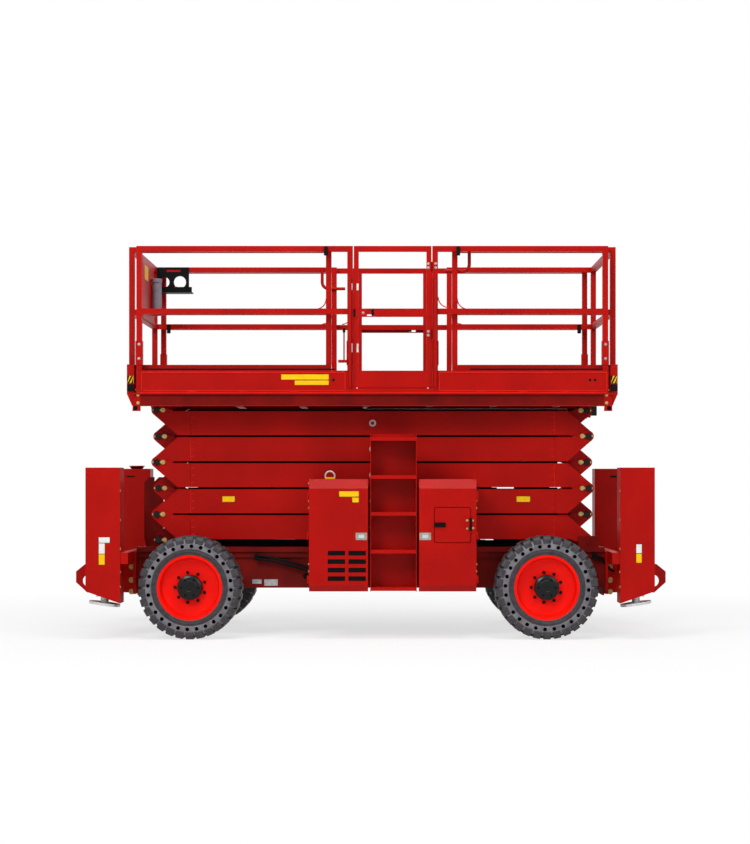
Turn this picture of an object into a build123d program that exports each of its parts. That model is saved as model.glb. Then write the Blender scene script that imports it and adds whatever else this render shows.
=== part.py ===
"""Rough-terrain scissor lift, stowed: chassis, wheels, outriggers, five-level stack and platform.

Millimetres. X runs along the machine, Y away from the near side, Z up from the ground.
"""

import math
import os

from build123d import *

os.makedirs("parts", exist_ok=True)

# Running gear
wheel_base = 2860
axle_shift = -15
tyre_radius = 415
tyre_width = 300
width_over_tyres = 2290
rim_radius = 262
rim_wall = 10
hub_radius = 97
kingpin_depth = 375
flange_depth = 285
disc_depth = 79
disc_thickness = 8
hub_cap_depth = 13
hub_seat_depth = 160
spindle_depth = 105
spindle_radius = 50
axle_tube_radius = 62
bearing_gap = 0.5
kingpin_radius = 24
yoke_plates = (270, 528)
yoke_thickness = 32
steer_arm_x = 210

# Scissor stack
levels = 5
pin_span = 3563
level_rise = 215
base_pin_height = 779
stack_shift = 15
beam_height = 198
beam_width = 80
tongue_width = 70
fork_plate = 14
boss_radius = 45
end_pin_radius = 25
centre_pin_radius = 30
pin_gap = 0.5
outer_beam_inside = 520
inner_beam_inside = 386
tongue_neck = 145
end_slope = 171
fork_reach = 275
fork_throat = 195

# Lift cylinders
barrel_share = 0.24
rod_share = 0.14
barrel_radius = 88
rod_radius = 52
barrel_length = 1700
rod_inset = 250
cylinder_eye = 62
cylinder_eye_width = 104
cylinder_pin_radius = 30
ear_thickness = 22
ear_gap = 7
barrel_tube_radius = 70
barrel_tube_back = 165
rod_tube_radius = 46
rod_tube_back = 175
rod_tube_lift = 38

# Chassis
frame_half_length = 1930
rail_top = 724
rail_height = 40
rail_inside = 490
rail_outside = 630
step_bottom = 638
step_outside = 610
web_outside = 590
web_thickness = 16
web_bottom = 386
end_plate_bottom = 324
end_plate_thickness = 15

# Outriggers
housing_inner = 2001
housing_outer = 2278
housing_inside = 900
housing_outside = 1130
housing_top = 1377
housing_low_outer = 386
housing_low_inner = 289
housing_wall = 8
leg_size = 120
leg_gap = 0.4
leg_top = 1200
foot_radius = 125
foot_thickness = 10
foot_height = 282
lug_reach = 2440
lug_inside = 548
lug_thickness = 25
lug_hole_radius = 50
lug_hole_x = 2336
lug_hole_z = 442

arm_rest_depth = 86
arm_rest_line = 330
arm_rest_thickness = 10
arm_rest_top = 1301
arm_rest_low = 690

# Modules and ladder
module_outside = 1130
module_back = 640
module_bottom = 383
module_face_top = 1209
module_top = 1284
module_bevel = 90
module_wall = 6
cover_gap = 6
hinge_radius = 8
hinge_pin = 4
hinge_out = 9
hinge_heights = (480, 830, 1150)
door_low = (511, 773)
door_high = (807, 1061)
door_gap = 5
left_module = (-490, -17)
right_module = (391, 851)
ladder_x = 187
ladder_width = 372
ladder_inside = 905
ladder_outside = 1120
ladder_top = 1650
ladder_steps = (417, 717, 1020, 1315, 1620)
vent_columns = (-270, -104)
vent_rows = 4
vent_length = 140
vent_height = 38
vent_pitch = 68
vent_top = 692

# Platform
platform_half_length = 1995
platform_half_width = 915
channel_top = 2012
channel_bottom = 1972
beam_bottom = 1878
deck_top = 2018
deck_thickness = 6
post_size = 45
post_line = 875
rail_top_height = 3177
mid_rail_top = 2669
toe_board_top = 2165
gate_x = 180
gate_width = 630
gate_gap = 8
gate_hinge_heights = (2463, 3011)
sleeve_size = 57
sleeve_low = 2211
sleeve_top = 2406
handle_radius = 13
handle_stand_off = 35
handle_stub_radius = 10
handle_foot = 25
handle_top = 2926
handle_low = 2030
handle_inset = 23
hanger_x = (-1933, -1867)
hanger_thickness = 12
hanger_low = 1837
end_plate_chamfer = (42, 95)
extension_line = 790
extension_thickness = 22
extension_gap = 0.4
extension_toe_top = 2217
left_extension_inner = -319
right_extension_inner = 665
end_plate_low = 1881
seat_gap = 0.3
holder_plate = 6
holder_width = 286
holder_tray = 150
holder_height = 240
holder_holes = ((66, 45), (205, 54))
holder_hole_drop = 14
rail_setback = 10

extension_floor = deck_top + extension_gap + extension_thickness
half_span = pin_span / 2
left_pin_x = stack_shift - half_span
right_pin_x = stack_shift + half_span
top_pin_height = base_pin_height + levels * level_rise
wheel_xs = {"front": axle_shift - wheel_base / 2, "rear": axle_shift + wheel_base / 2}
wheel_face = width_over_tyres / 2
tyre_inside = wheel_face - tyre_width
kingpin_offset = wheel_face - kingpin_depth


def write(builder, name):
    """Label one finished piece and write it."""
    builder.part.label = name
    export_step(builder.part, f"parts/{name}.step")


def block(x0, x1, y0, y1, z0, z1, mode=Mode.ADD):
    """One straight plate or bar between two corners."""
    with Locations(((x0 + x1) / 2, (y0 + y1) / 2, (z0 + z1) / 2)):
        Box(x1 - x0, y1 - y0, z1 - z0, mode=mode)


def bore(x, z, radius, y0, y1, mode=Mode.SUBTRACT):
    """A round bar or hole that runs across the machine from y0 to y1."""
    with Locations(Location((x, (y0 + y1) / 2, z), (90, 0, 0))):
        Cylinder(radius, y1 - y0, mode=mode)


def spindle(x, y, radius, z0, z1, mode=Mode.ADD):
    """An upright round bar or hole."""
    with Locations((x, y, (z0 + z1) / 2)):
        Cylinder(radius, z1 - z0, mode=mode)


def post(x, y, z0, z1, size=post_size):
    """An upright square tube."""
    block(x - size / 2, x + size / 2, y - size / 2, y + size / 2, z0, z1)


def arm_plane(lean, inside, width, level):
    """Side view of an arm of this level: x runs to its upper end, y up, from its middle."""
    start = -inside if lean > 0 else -(inside + width)
    middle = base_pin_height + (level - 0.5) * level_rise
    return Plane(origin=(stack_shift, start, middle), x_dir=(lean, 0, 0), z_dir=(0, -lean, 0))


def arm_end(end):
    """Outline of the lower (-1) or upper (+1) end of an arm, from its boss to its beam."""
    near_corner = (end * (half_span - tongue_neck), end * beam_height / 2)
    far_corner = (end * (half_span - end_slope), -end * beam_height / 2)
    with Locations((end * half_span, end * level_rise / 2)):
        boss = Circle(boss_radius)
    make_hull(boss.edges() + [Edge.make_line(near_corner, far_corner)])
    reach = end * (half_span - (fork_reach if end > 0 else tongue_neck + 60))
    Polygon(
        near_corner,
        far_corner,
        (reach, -end * beam_height / 2),
        (reach, end * beam_height / 2),
        align=None,
    )


def arm_beam(lean, inside, level):
    """One beam with a narrow tongue at its lower end and a fork at its upper end."""
    with BuildSketch(arm_plane(lean, inside, beam_width, level)) as beam:
        length = pin_span - tongue_neck - 20 - fork_throat
        with Locations(((tongue_neck + 20 - fork_throat) / 2, 0)):
            Rectangle(length, beam_height)
    extrude(beam.sketch, amount=beam_width)
    side_gap = (beam_width - tongue_width) / 2
    with BuildSketch(arm_plane(lean, inside + side_gap, tongue_width, level)) as tongue:
        arm_end(-1)
    extrude(tongue.sketch, amount=tongue_width)
    for plate in (inside - fork_plate, inside + beam_width):
        with BuildSketch(arm_plane(lean, plate, fork_plate, level)) as fork:
            arm_end(1)
        extrude(fork.sketch, amount=fork_plate)


def pin_spots(lean, level):
    """Lower and upper pin centres, as (x, z), of an arm of this level."""
    low = base_pin_height + (level - 1) * level_rise
    return (stack_shift - lean * half_span, low), (stack_shift + lean * half_span, low + level_rise)


# Arms: each is a near and a far beam joined across by tubes, with a fork above and a tongue below
for level in range(1, levels + 1):
    centre_z = base_pin_height + (level - 0.5) * level_rise

    lean = -1 if level % 2 else 1
    lower, upper = pin_spots(lean, level)
    with BuildPart() as outer_arm:
        arm_beam(lean, outer_beam_inside, level)
        bore(*lower, end_pin_radius + pin_gap, -outer_beam_inside - beam_width, -outer_beam_inside)
        bore(*upper, end_pin_radius, -outer_beam_inside - beam_width - fork_plate - 8, -outer_beam_inside, Mode.ADD)
        bore(stack_shift, centre_z, 45, -outer_beam_inside - beam_width - 6, -outer_beam_inside, Mode.ADD)
        bore(
            stack_shift,
            centre_z,
            centre_pin_radius + pin_gap,
            -outer_beam_inside - beam_width - 10,
            -outer_beam_inside + 1,
        )
        mirror(about=Plane.XZ)
        tube_end = outer_beam_inside - fork_plate
        bore(*upper, boss_radius, -tube_end, tube_end, Mode.ADD)
    write(outer_arm, f"outer_arm_{level}")

    lean = -lean
    lower, upper = pin_spots(lean, level)
    with BuildPart() as inner_arm:
        arm_beam(lean, inner_beam_inside, level)
        bore(*lower, end_pin_radius + pin_gap, -inner_beam_inside - beam_width, -inner_beam_inside)
        bore(*upper, end_pin_radius, -inner_beam_inside - beam_width - fork_plate - 6, -inner_beam_inside, Mode.ADD)
        pin_end = outer_beam_inside + beam_width + 4
        bore(stack_shift, centre_z, centre_pin_radius, -pin_end, -inner_beam_inside, Mode.ADD)
        collar_end = outer_beam_inside - 4
        bore(stack_shift, centre_z, 48, -collar_end, -inner_beam_inside - beam_width, Mode.ADD)
        mirror(about=Plane.XZ)
        tube_end = inner_beam_inside - fork_plate
        bore(*upper, boss_radius, -tube_end, tube_end, Mode.ADD)
        along = (upper[0] - lower[0]) / pin_span
        ear_inside = cylinder_eye_width / 2 + ear_gap
        if level in (1, 3):
            eye_x = lower[0] + barrel_share * (upper[0] - lower[0])
            eye_z = lower[1] + barrel_share * level_rise
            tube_x = eye_x - along * barrel_tube_back
            tube_z = centre_z
            tube_radius = barrel_tube_radius
        if level in (2, 4):
            eye_x = lower[0] + rod_share * (upper[0] - lower[0])
            eye_z = lower[1] + rod_share * level_rise
            tube_x = eye_x + along * rod_tube_back
            tube_z = centre_z + rod_tube_lift
            tube_radius = rod_tube_radius
        if level < levels:
            bore(tube_x, tube_z, tube_radius, -inner_beam_inside, inner_beam_inside, Mode.ADD)
            for ear in (-ear_inside - ear_thickness, ear_inside):
                with BuildSketch(Plane.XZ.offset(-ear - ear_thickness)):
                    with Locations((eye_x, eye_z)):
                        Circle(cylinder_eye)
                    with Locations((tube_x, tube_z)):
                        Circle(tube_radius)
                    make_hull()
                extrude(amount=ear_thickness)
        if level in (1, 3):
            bore(
                eye_x,
                eye_z,
                cylinder_pin_radius,
                -ear_inside - ear_thickness - 12,
                ear_inside + ear_thickness + 12,
                Mode.ADD,
            )
        if level in (2, 4):
            bore(eye_x, eye_z, cylinder_pin_radius, -ear_inside - 30, ear_inside + 30)
    write(inner_arm, f"inner_arm_{level}")

# Shoes: blocks beside the lowest outer tongues, and between the uppermost inner forks
with BuildPart() as lower_shoe:
    shoe_z = base_pin_height
    for inside in (outer_beam_inside - 22, outer_beam_inside + beam_width):
        block(
            right_pin_x - 85, right_pin_x + 85, -inside - 22, -inside, rail_top + pin_gap, shoe_z + 34
        )
    bore(
        right_pin_x,
        shoe_z,
        end_pin_radius,
        -outer_beam_inside - beam_width - 30,
        -outer_beam_inside + 22,
        Mode.ADD,
    )
    mirror(about=Plane.XZ)
write(lower_shoe, "lower_shoe")

track_inside = inner_beam_inside + 5
track_bottom = top_pin_height + boss_radius + 1
with BuildPart() as upper_shoe:
    block(
        right_pin_x - 85,
        right_pin_x + 85,
        -track_inside - tongue_width,
        -track_inside,
        top_pin_height - 40,
        track_bottom - pin_gap,
    )
    bore(
        right_pin_x, top_pin_height, end_pin_radius + pin_gap, -track_inside - tongue_width, -track_inside
    )
    mirror(about=Plane.XZ)
write(upper_shoe, "upper_shoe")

# Lift cylinders: barrel hinged on levels 1 and 3, rod eye on levels 2 and 4
for number, level in ((1, 1), (2, 3)):
    low = base_pin_height + (level - 1) * level_rise
    foot_x = left_pin_x + barrel_share * pin_span
    foot_z = low + barrel_share * level_rise
    head_x = right_pin_x - rod_share * pin_span
    head_z = low + level_rise + rod_share * level_rise
    closed_length = math.hypot(head_x - foot_x, head_z - foot_z)
    slope = Vector((head_x - foot_x) / closed_length, 0, (head_z - foot_z) / closed_length)
    axis_plane = Plane(origin=(foot_x, 0, foot_z), x_dir=(0, 1, 0), z_dir=slope)

    with BuildPart() as barrel:
        with BuildSketch(axis_plane.offset(cylinder_eye + 18)):
            Circle(barrel_radius)
        extrude(amount=barrel_length - cylinder_eye - 18)
        with BuildSketch(axis_plane):
            Rectangle(cylinder_eye_width, 2 * cylinder_eye - 20)
        extrude(amount=cylinder_eye + 30)
        bore(foot_x, foot_z, cylinder_eye, -cylinder_eye_width / 2, cylinder_eye_width / 2, Mode.ADD)
        bore(
            foot_x,
            foot_z,
            cylinder_pin_radius + pin_gap,
            -cylinder_eye_width / 2,
            cylinder_eye_width / 2,
        )
        with BuildSketch(axis_plane.offset(barrel_length - 90)):
            Circle(barrel_radius + 10)
        extrude(amount=90)
        with BuildSketch(axis_plane.offset(rod_inset - 20)):
            Circle(rod_radius + pin_gap)
        extrude(amount=barrel_length, mode=Mode.SUBTRACT)
    write(barrel, f"lift_barrel_{number}")

    with BuildPart() as rod:
        with BuildSketch(axis_plane.offset(rod_inset)):
            Circle(rod_radius)
        extrude(amount=closed_length - rod_inset - cylinder_eye + 20)
        bore(head_x, head_z, cylinder_eye, -cylinder_eye_width / 2, cylinder_eye_width / 2, Mode.ADD)
        pin_reach = cylinder_eye_width / 2 + ear_gap - 1
        bore(head_x, head_z, cylinder_pin_radius - 4, -pin_reach, pin_reach, Mode.ADD)
    write(rod, f"lift_rod_{number}")

# Chassis: two stepped side rails on web plates, cross beams, end plates and arm clevises
with BuildPart() as chassis:
    reach = frame_half_length
    block(-reach, reach, -rail_outside, -rail_inside, rail_top - rail_height, rail_top)
    block(-reach, reach, -step_outside, -rail_inside - 10, step_bottom, rail_top - rail_height)
    with BuildSketch(Plane.XZ.offset(web_outside - web_thickness)):
        with Locations((0, (web_bottom + step_bottom) / 2)):
            Rectangle(2 * reach, step_bottom - web_bottom)
        for x in wheel_xs.values():
            with Locations((x, web_bottom)):
                Rectangle(300, 280, mode=Mode.SUBTRACT)
    extrude(amount=web_thickness)
    block(-1180, 1180, -web_outside, -web_outside + 90, web_bottom, web_bottom + 14)
    for x0, x1 in ((-480, -330), (-180, -60), (440, 540), (720, 840)):
        block(x0, x1, -module_back, -web_outside, 430, 600)
    for x0, x1 in ((30, 70), (304, 344)):
        block(x0, x1, -ladder_inside, -web_outside, 470, 530)
    for cheek in (inner_beam_inside - 22, inner_beam_inside + beam_width):
        with BuildSketch(Plane.XZ.offset(cheek)):
            with Locations((left_pin_x, base_pin_height)):
                Circle(boss_radius)
            with Locations((left_pin_x, rail_top - 30)):
                Rectangle(220, 2)
            make_hull()
        extrude(amount=22)
    with BuildSketch(Plane.XZ.offset(arm_rest_line)):
        rest_right = left_pin_x - boss_radius - 6.5
        rest_left = rest_right - arm_rest_depth
        with BuildLine():
            Polyline(
                (left_pin_x - 125, arm_rest_low),
                (left_pin_x - 125, arm_rest_low + 60),
                (rest_left, arm_rest_low + 90),
                (rest_left, arm_rest_top - 45),
                (rest_left + 45, arm_rest_top),
                (rest_right, arm_rest_top),
                (rest_right, arm_rest_low),
                close=True,
            )
        make_face()
    extrude(amount=arm_rest_thickness)
    clevis_end = inner_beam_inside + beam_width + 28
    bore(
        left_pin_x, base_pin_height, end_pin_radius, -clevis_end, -inner_beam_inside + 28, Mode.ADD
    )
    mirror(about=Plane.XZ)
    block(left_pin_x - 130, left_pin_x + 130, -rail_inside, rail_inside, rail_top - 100, rail_top - 28)
    for x in (-1050, -520, 60, 640, 1050):
        block(x - 50, x + 50, -web_outside + 2, web_outside - 2, 520, 630)
    for x0 in (-reach, reach - end_plate_thickness):
        block(
            x0, x0 + end_plate_thickness, -web_outside, web_outside, end_plate_bottom, rail_top - rail_height
        )
    for x in wheel_xs.values():
        for side in (-300, 300):
            block(x - 60, x + 60, side - 20, side + 20, 415 + axle_tube_radius + 10, 640)
        block(x - 90, x + 90, -web_outside + 2, web_outside - 2, 630, 670)
write(chassis, "chassis_frame")

# Axles: steered beam with yokes at the front, straight beam with flanges at the rear
wheel_centre = tyre_radius
for name, x in wheel_xs.items():
    with BuildPart() as axle:
        beam_end = kingpin_offset - 95 if name == "front" else wheel_face - flange_depth + 20
        bore(x, wheel_centre, axle_tube_radius, -beam_end, beam_end, Mode.ADD)
        with BuildSketch(Plane.XZ.offset(-110)):
            with Locations((x, wheel_centre)):
                Circle(150)
        extrude(amount=220)
        fillet(axle.edges().filter_by(GeomType.CIRCLE).filter_by(lambda e: abs(e.radius - 150) < 1), 45)
        for side in (-300, 300):
            block(x - 60, x + 60, side - 50, side + 50, wheel_centre, wheel_centre + axle_tube_radius + 10)
        if name == "front":
            for side in (-1, 1):
                pivot = kingpin_offset * side
                back = pivot - side * 110
                for z0 in yoke_plates:
                    block(x - 60, x + 60, min(pivot, back), max(pivot, back), z0, z0 + yoke_thickness)
                    with BuildSketch(Plane.XY.offset(z0)):
                        with Locations((x, pivot)):
                            Circle(60)
                    extrude(amount=yoke_thickness)
                front = back + side * 24
                block(
                    x - 60,
                    x + 60,
                    min(back, front),
                    max(back, front),
                    yoke_plates[0],
                    yoke_plates[1] + yoke_thickness,
                )
                with BuildSketch(Plane.XY.offset(yoke_plates[0] - 10)):
                    with Locations((x, pivot)):
                        Circle(kingpin_radius)
                extrude(amount=yoke_plates[1] + yoke_thickness + 20 - yoke_plates[0])
        else:
            for side in (-1, 1):
                flange = wheel_face - flange_depth
                flange_start, flange_end = sorted((side * (flange - 60), side * flange))
                bore(x, wheel_centre, 130, flange_start, flange_end, Mode.ADD)
                spindle_start, spindle_end = sorted((side * (flange - 60), side * (wheel_face - spindle_depth)))
                bore(x, wheel_centre, spindle_radius, spindle_start, spindle_end, Mode.ADD)
    write(axle, f"{name}_axle")

# Knuckles turn on the kingpins and carry the front wheels; a tie rod joins their arms
front_x = wheel_xs["front"]
steer_arm_low = wheel_centre - 60
for side_name, side in (("near", -1), ("far", 1)):
    with BuildPart() as knuckle:
        pivot = side * kingpin_offset
        with BuildSketch(Plane.XY.offset(yoke_plates[0] + yoke_thickness + 6)):
            with Locations((front_x, pivot)):
                Circle(58)
        extrude(amount=yoke_plates[1] - yoke_plates[0] - yoke_thickness - 12)
        hub_start, hub_end = sorted((pivot + side * 30, side * (wheel_face - hub_seat_depth - 5)))
        bore(front_x, wheel_centre, 92, hub_start, hub_end, Mode.ADD)
        spindle_start, spindle_end = sorted((pivot, side * (wheel_face - spindle_depth)))
        bore(front_x, wheel_centre, spindle_radius, spindle_start, spindle_end, Mode.ADD)
        block(
            front_x,
            front_x + steer_arm_x,
            pivot - 20,
            pivot + 20,
            steer_arm_low,
            steer_arm_low + 25,
        )
        for z0, height, radius in ((steer_arm_low, 25, 26), (steer_arm_low - 44, 60, 10)):
            with BuildSketch(Plane.XY.offset(z0)):
                with Locations((front_x + steer_arm_x, pivot)):
                    Circle(radius)
            extrude(amount=height)
        with BuildSketch(Plane.XY.offset(yoke_plates[0])):
            with Locations((front_x, pivot)):
                Circle(kingpin_radius + pin_gap)
        extrude(amount=yoke_plates[1] - yoke_plates[0] + yoke_thickness, mode=Mode.SUBTRACT)
    write(knuckle, f"knuckle_{side_name}")

with BuildPart() as tie_rod:
    bore(front_x + steer_arm_x, steer_arm_low - 22, 15, -kingpin_offset, kingpin_offset, Mode.ADD)
    for side in (-1, 1):
        with BuildSketch(Plane.XY.offset(steer_arm_low - 40)):
            with Locations((front_x + steer_arm_x, side * kingpin_offset)):
                Circle(26)
        extrude(amount=39.5)
        with BuildSketch(Plane.XY.offset(steer_arm_low - 50)):
            with Locations((front_x + steer_arm_x, side * kingpin_offset)):
                Circle(10 + pin_gap)
        extrude(amount=60, mode=Mode.SUBTRACT)
write(tie_rod, "tie_rod")

# Wheels: pressed steel rims with a dished disc and hub, and solid tyres
for end, x in wheel_xs.items():
    for side_name, side in (("near", -1), ("far", 1)):
        wheel_axis = Plane(origin=(x, 0, wheel_centre), x_dir=(1, 0, 0), z_dir=(0, side, 0))
        with BuildPart() as rim:
            with BuildSketch(Plane(origin=(x, 0, wheel_centre), x_dir=(0, side, 0), z_dir=(1, 0, 0))):
                with BuildLine():
                    Polyline(
                        (tyre_inside + 15, rim_radius),
                        (wheel_face - 8, rim_radius),
                        (wheel_face - 8, rim_radius - 22),
                        (wheel_face - 30, rim_radius - 30),
                        (wheel_face - disc_depth + 12, rim_radius - 36),
                        (wheel_face - disc_depth, 150),
                        (wheel_face - disc_depth, hub_radius),
                        (wheel_face - hub_cap_depth - 10, hub_radius),
                        (wheel_face - hub_cap_depth, hub_radius - 14),
                        (wheel_face - hub_cap_depth, 0),
                        (wheel_face - spindle_depth + 8, 0),
                        (wheel_face - spindle_depth + 8, spindle_radius + bearing_gap),
                        (wheel_face - hub_seat_depth, spindle_radius + bearing_gap),
                        (wheel_face - hub_seat_depth, 92),
                        (wheel_face - disc_depth - disc_thickness - 8, 100),
                        (wheel_face - disc_depth - disc_thickness, rim_radius - 30),
                        (wheel_face - disc_depth - disc_thickness, rim_radius - rim_wall),
                        (tyre_inside + 15, rim_radius - rim_wall),
                        close=True,
                    )
                make_face()
            revolve(axis=Axis((x, 0, wheel_centre), (0, side, 0)))
        write(rim, f"rim_{end}_{side_name}")
        with BuildPart() as tyre:
            with BuildSketch(Plane(origin=(x, 0, wheel_centre), x_dir=(0, side, 0), z_dir=(1, 0, 0))):
                with BuildLine():
                    Polyline(
                        (tyre_inside, rim_radius + pin_gap),
                        (tyre_inside, 370),
                        (tyre_inside + 40, tyre_radius),
                        (wheel_face - 40, tyre_radius),
                        (wheel_face, 370),
                        (wheel_face, rim_radius + pin_gap),
                        close=True,
                    )
                make_face()
            revolve(axis=Axis((x, 0, wheel_centre), (0, side, 0)))
        write(tyre, f"tyre_{end}_{side_name}")

# Outriggers: a cross beam with a hollow jack housing at each end, tie-down lugs and jack legs
for name, way in (("left", -1), ("right", 1)):

    def span(a, b):
        """Two distances from the middle, as low and high X on this end of the machine."""
        return min(way * a, way * b), max(way * a, way * b)

    with BuildPart() as frame:
        with BuildSketch(Plane.XZ.offset(housing_inside)):
            with BuildLine():
                Polyline(
                    (way * housing_inner, housing_top),
                    (way * housing_outer, housing_top),
                    (way * housing_outer, housing_low_outer),
                    (way * housing_inner, housing_low_inner),
                    close=True,
                )
            make_face()
        extrude(amount=housing_outside - housing_inside)
        wall = housing_wall
        block(
            *span(housing_inner + wall, housing_outer - wall),
            -housing_outside + wall,
            -housing_inside - wall,
            0,
            housing_top - wall,
            mode=Mode.SUBTRACT,
        )
        leg_x = way * (housing_inner + housing_outer) / 2
        leg_y = -(housing_inside + housing_outside) / 2
        hole = leg_size + 2 * leg_gap
        for z in (430, 900):
            block(
                *span(housing_inner, housing_outer), -housing_outside + 2, -housing_inside - 2, z, z + 25
            )
            with Locations((leg_x, leg_y, z + 12)):
                Box(hole, hole, 60, mode=Mode.SUBTRACT)
        with BuildSketch(Plane.XZ.offset(lug_inside)):
            with BuildLine():
                Polyline(
                    (way * (frame_half_length + 10), 640),
                    (way * 2290, 600),
                    (way * 2366, 580),
                    (way * lug_reach, 520),
                    (way * lug_reach, 430),
                    (way * 2345, 345),
                    (way * 2250, 350),
                    (way * (frame_half_length + 10), 345),
                    close=True,
                )
            make_face()
            with Locations((way * lug_hole_x, lug_hole_z)):
                Circle(lug_hole_radius, mode=Mode.SUBTRACT)
        extrude(amount=lug_thickness)
        mirror(about=Plane.XZ)
        block(*span(frame_half_length, frame_half_length + 22), -700, 700, 340, 690)
        block(
            *span(frame_half_length + 10, housing_inner + 1), -housing_outside + 10, housing_outside - 10, 604, 696
        )
    write(frame, f"outrigger_frame_{name}")

    for side_name, side in (("near", -1), ("far", 1)):
        with BuildPart() as leg:
            spot = (way * (housing_inner + housing_outer) / 2, side * (housing_inside + housing_outside) / 2)
            with BuildSketch(Plane.XY.offset(foot_height + 60)):
                with Locations(spot):
                    Rectangle(leg_size, leg_size)
            extrude(amount=leg_top - foot_height - 60)
            with BuildSketch(Plane.XY.offset(foot_height)):
                with Locations(spot):
                    Circle(32)
            extrude(amount=70)
            tilt = Plane(
                origin=(spot[0], spot[1], foot_height), z_dir=(way * math.sin(0.14), 0, -math.cos(0.14))
            )
            with BuildSketch(tilt):
                Circle(foot_radius)
            extrude(amount=foot_thickness, both=True)
        write(leg, f"outrigger_leg_{name}_{side_name}")

# Module trays carry the engine, the tank and the cover hinges; ladders stand between them
modules = {"left": left_module, "right": right_module}
cover_inside = module_outside - module_bevel - 10
hinge_line = module_outside - hinge_out
cover_pins = {"left": left_module[0] - hinge_out, "right": right_module[1] + hinge_out}
for name, (x0, x1) in modules.items():
    for side_name in ("near", "far"):
        with BuildPart() as tray:
            block(x0 + 8, x1 - 8, -cover_inside, -module_back, module_bottom + 8, module_top - 6)
            block(
                x0 + 14,
                x1 - 14,
                -cover_inside,
                -module_back - module_wall,
                module_bottom + 14,
                module_top - 12,
                mode=Mode.SUBTRACT,
            )
            pin_x = cover_pins[name]
            wall_x = x0 + 8 if name == "left" else x1 - 8
            strap_low = pin_x - 4
            strap_high = pin_x + 4
            for z in hinge_heights:
                block(strap_low, strap_high, -hinge_line, -cover_inside + 30, z - 30, z)
                block(
                    min(strap_low, wall_x),
                    max(strap_high, wall_x),
                    -cover_inside + 10,
                    -cover_inside + 30,
                    z - 30,
                    z,
                )
                spindle(pin_x, -hinge_line, hinge_radius, z - 30, z)
                spindle(pin_x, -hinge_line, hinge_pin, z - 1, z + 34)
            if side_name == "far":
                mirror(about=Plane.XZ, mode=Mode.REPLACE)
        write(tray, f"module_tray_{name}_{side_name}")

with BuildPart() as engine:
    block(left_module[0] + 60, left_module[1] - 60, -980, -module_back - 40, module_bottom + 14, 1050)
write(engine, "engine_block")

with BuildPart() as tank:
    block(right_module[0] + 60, right_module[1] - 60, module_back + 40, 980, module_bottom + 14, 1050)
write(tank, "oil_tank")

door_x0, door_z0 = door_low
door_x1, door_z1 = door_high
door_pin_x = door_x1 - door_gap / 2
door_pin_line = module_outside + 6
door_middle = ((door_x0 + door_x1) / 2, (door_z0 + door_z1) / 2)
for name, (x0, x1) in modules.items():
    for side_name, side in (("near", -1), ("far", 1)):
        with BuildPart() as cover:
            for inset, mode in ((0, Mode.ADD), (module_wall, Mode.SUBTRACT)):
                back = cover_inside + cover_gap - (30 if inset else 0)
                front = module_outside - inset
                with BuildSketch(Plane.YZ.offset(x0 + inset)):
                    with BuildLine():
                        Polyline(
                            (-back, module_top - inset),
                            (-front + module_bevel - 20, module_top - inset),
                            (-front, module_face_top),
                            (-front, module_bottom + 50),
                            (-front + 50, module_bottom + inset),
                            (-back, module_bottom + inset),
                            close=True,
                        )
                    make_face()
                extrude(amount=x1 - x0 - 2 * inset, mode=mode)
            if name == "left":
                for column in vent_columns:
                    for row in range(vent_rows):
                        z = vent_top - row * vent_pitch
                        block(
                            column - vent_length / 2,
                            column + vent_length / 2,
                            -module_outside - 1,
                            -module_outside + module_wall + 1,
                            z - vent_height / 2,
                            z + vent_height / 2,
                            mode=Mode.SUBTRACT,
                        )
            pin_x = cover_pins[name]
            wall_x = x0 + 2 if name == "left" else x1 - 2
            for z in hinge_heights:
                spindle(pin_x, -hinge_line, hinge_radius, z + pin_gap, z + 30)
                block(
                    min(pin_x, wall_x),
                    max(pin_x, wall_x),
                    -hinge_line - hinge_radius,
                    -hinge_line + hinge_radius,
                    z + pin_gap,
                    z + 30,
                )
                spindle(pin_x, -hinge_line, hinge_pin + pin_gap, z, z + 31, Mode.SUBTRACT)
            if name == "right" and side < 0:
                with BuildSketch(Plane.XZ.offset(module_outside - module_wall - 1)):
                    with Locations(door_middle):
                        RectangleRounded(door_x1 - door_x0, door_z1 - door_z0, 22)
                extrude(amount=module_wall + 2, mode=Mode.SUBTRACT)
                for z0, z1 in ((door_middle[1] - 60, door_middle[1] - 30), (door_middle[1] + 30, door_middle[1] + 60)):
                    block(
                        door_pin_x, door_x1 + 30, -module_outside - 4, -module_outside, z0, z1
                    )
                    spindle(door_pin_x, -door_pin_line, 6, z0, z1)
                spindle(door_pin_x, -door_pin_line, 2.5, door_middle[1] - 60, door_middle[1] + 60)
            if side > 0:
                mirror(about=Plane.XZ, mode=Mode.REPLACE)
        write(cover, f"module_cover_{name}_{side_name}")

with BuildPart() as door:
    with BuildSketch(Plane.XZ.offset(module_outside - module_wall)):
        with Locations(door_middle):
            RectangleRounded(door_x1 - door_x0 - 2 * door_gap, door_z1 - door_z0 - 2 * door_gap, 18)
    extrude(amount=module_wall)
    block(door_x0 + 12, door_x0 + 48, -module_outside - 12, -module_outside, door_middle[1] - 12, door_middle[1] + 12)
    block(
        door_pin_x - 40,
        door_pin_x,
        -module_outside - 4,
        -module_outside,
        door_middle[1] - 29,
        door_middle[1] + 29,
    )
    spindle(door_pin_x, -door_pin_line, 6, door_middle[1] - 29, door_middle[1] + 29)
    spindle(door_pin_x, -door_pin_line, 2.5 + pin_gap, door_middle[1] - 30, door_middle[1] + 30, Mode.SUBTRACT)
write(door, "control_door")

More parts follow.
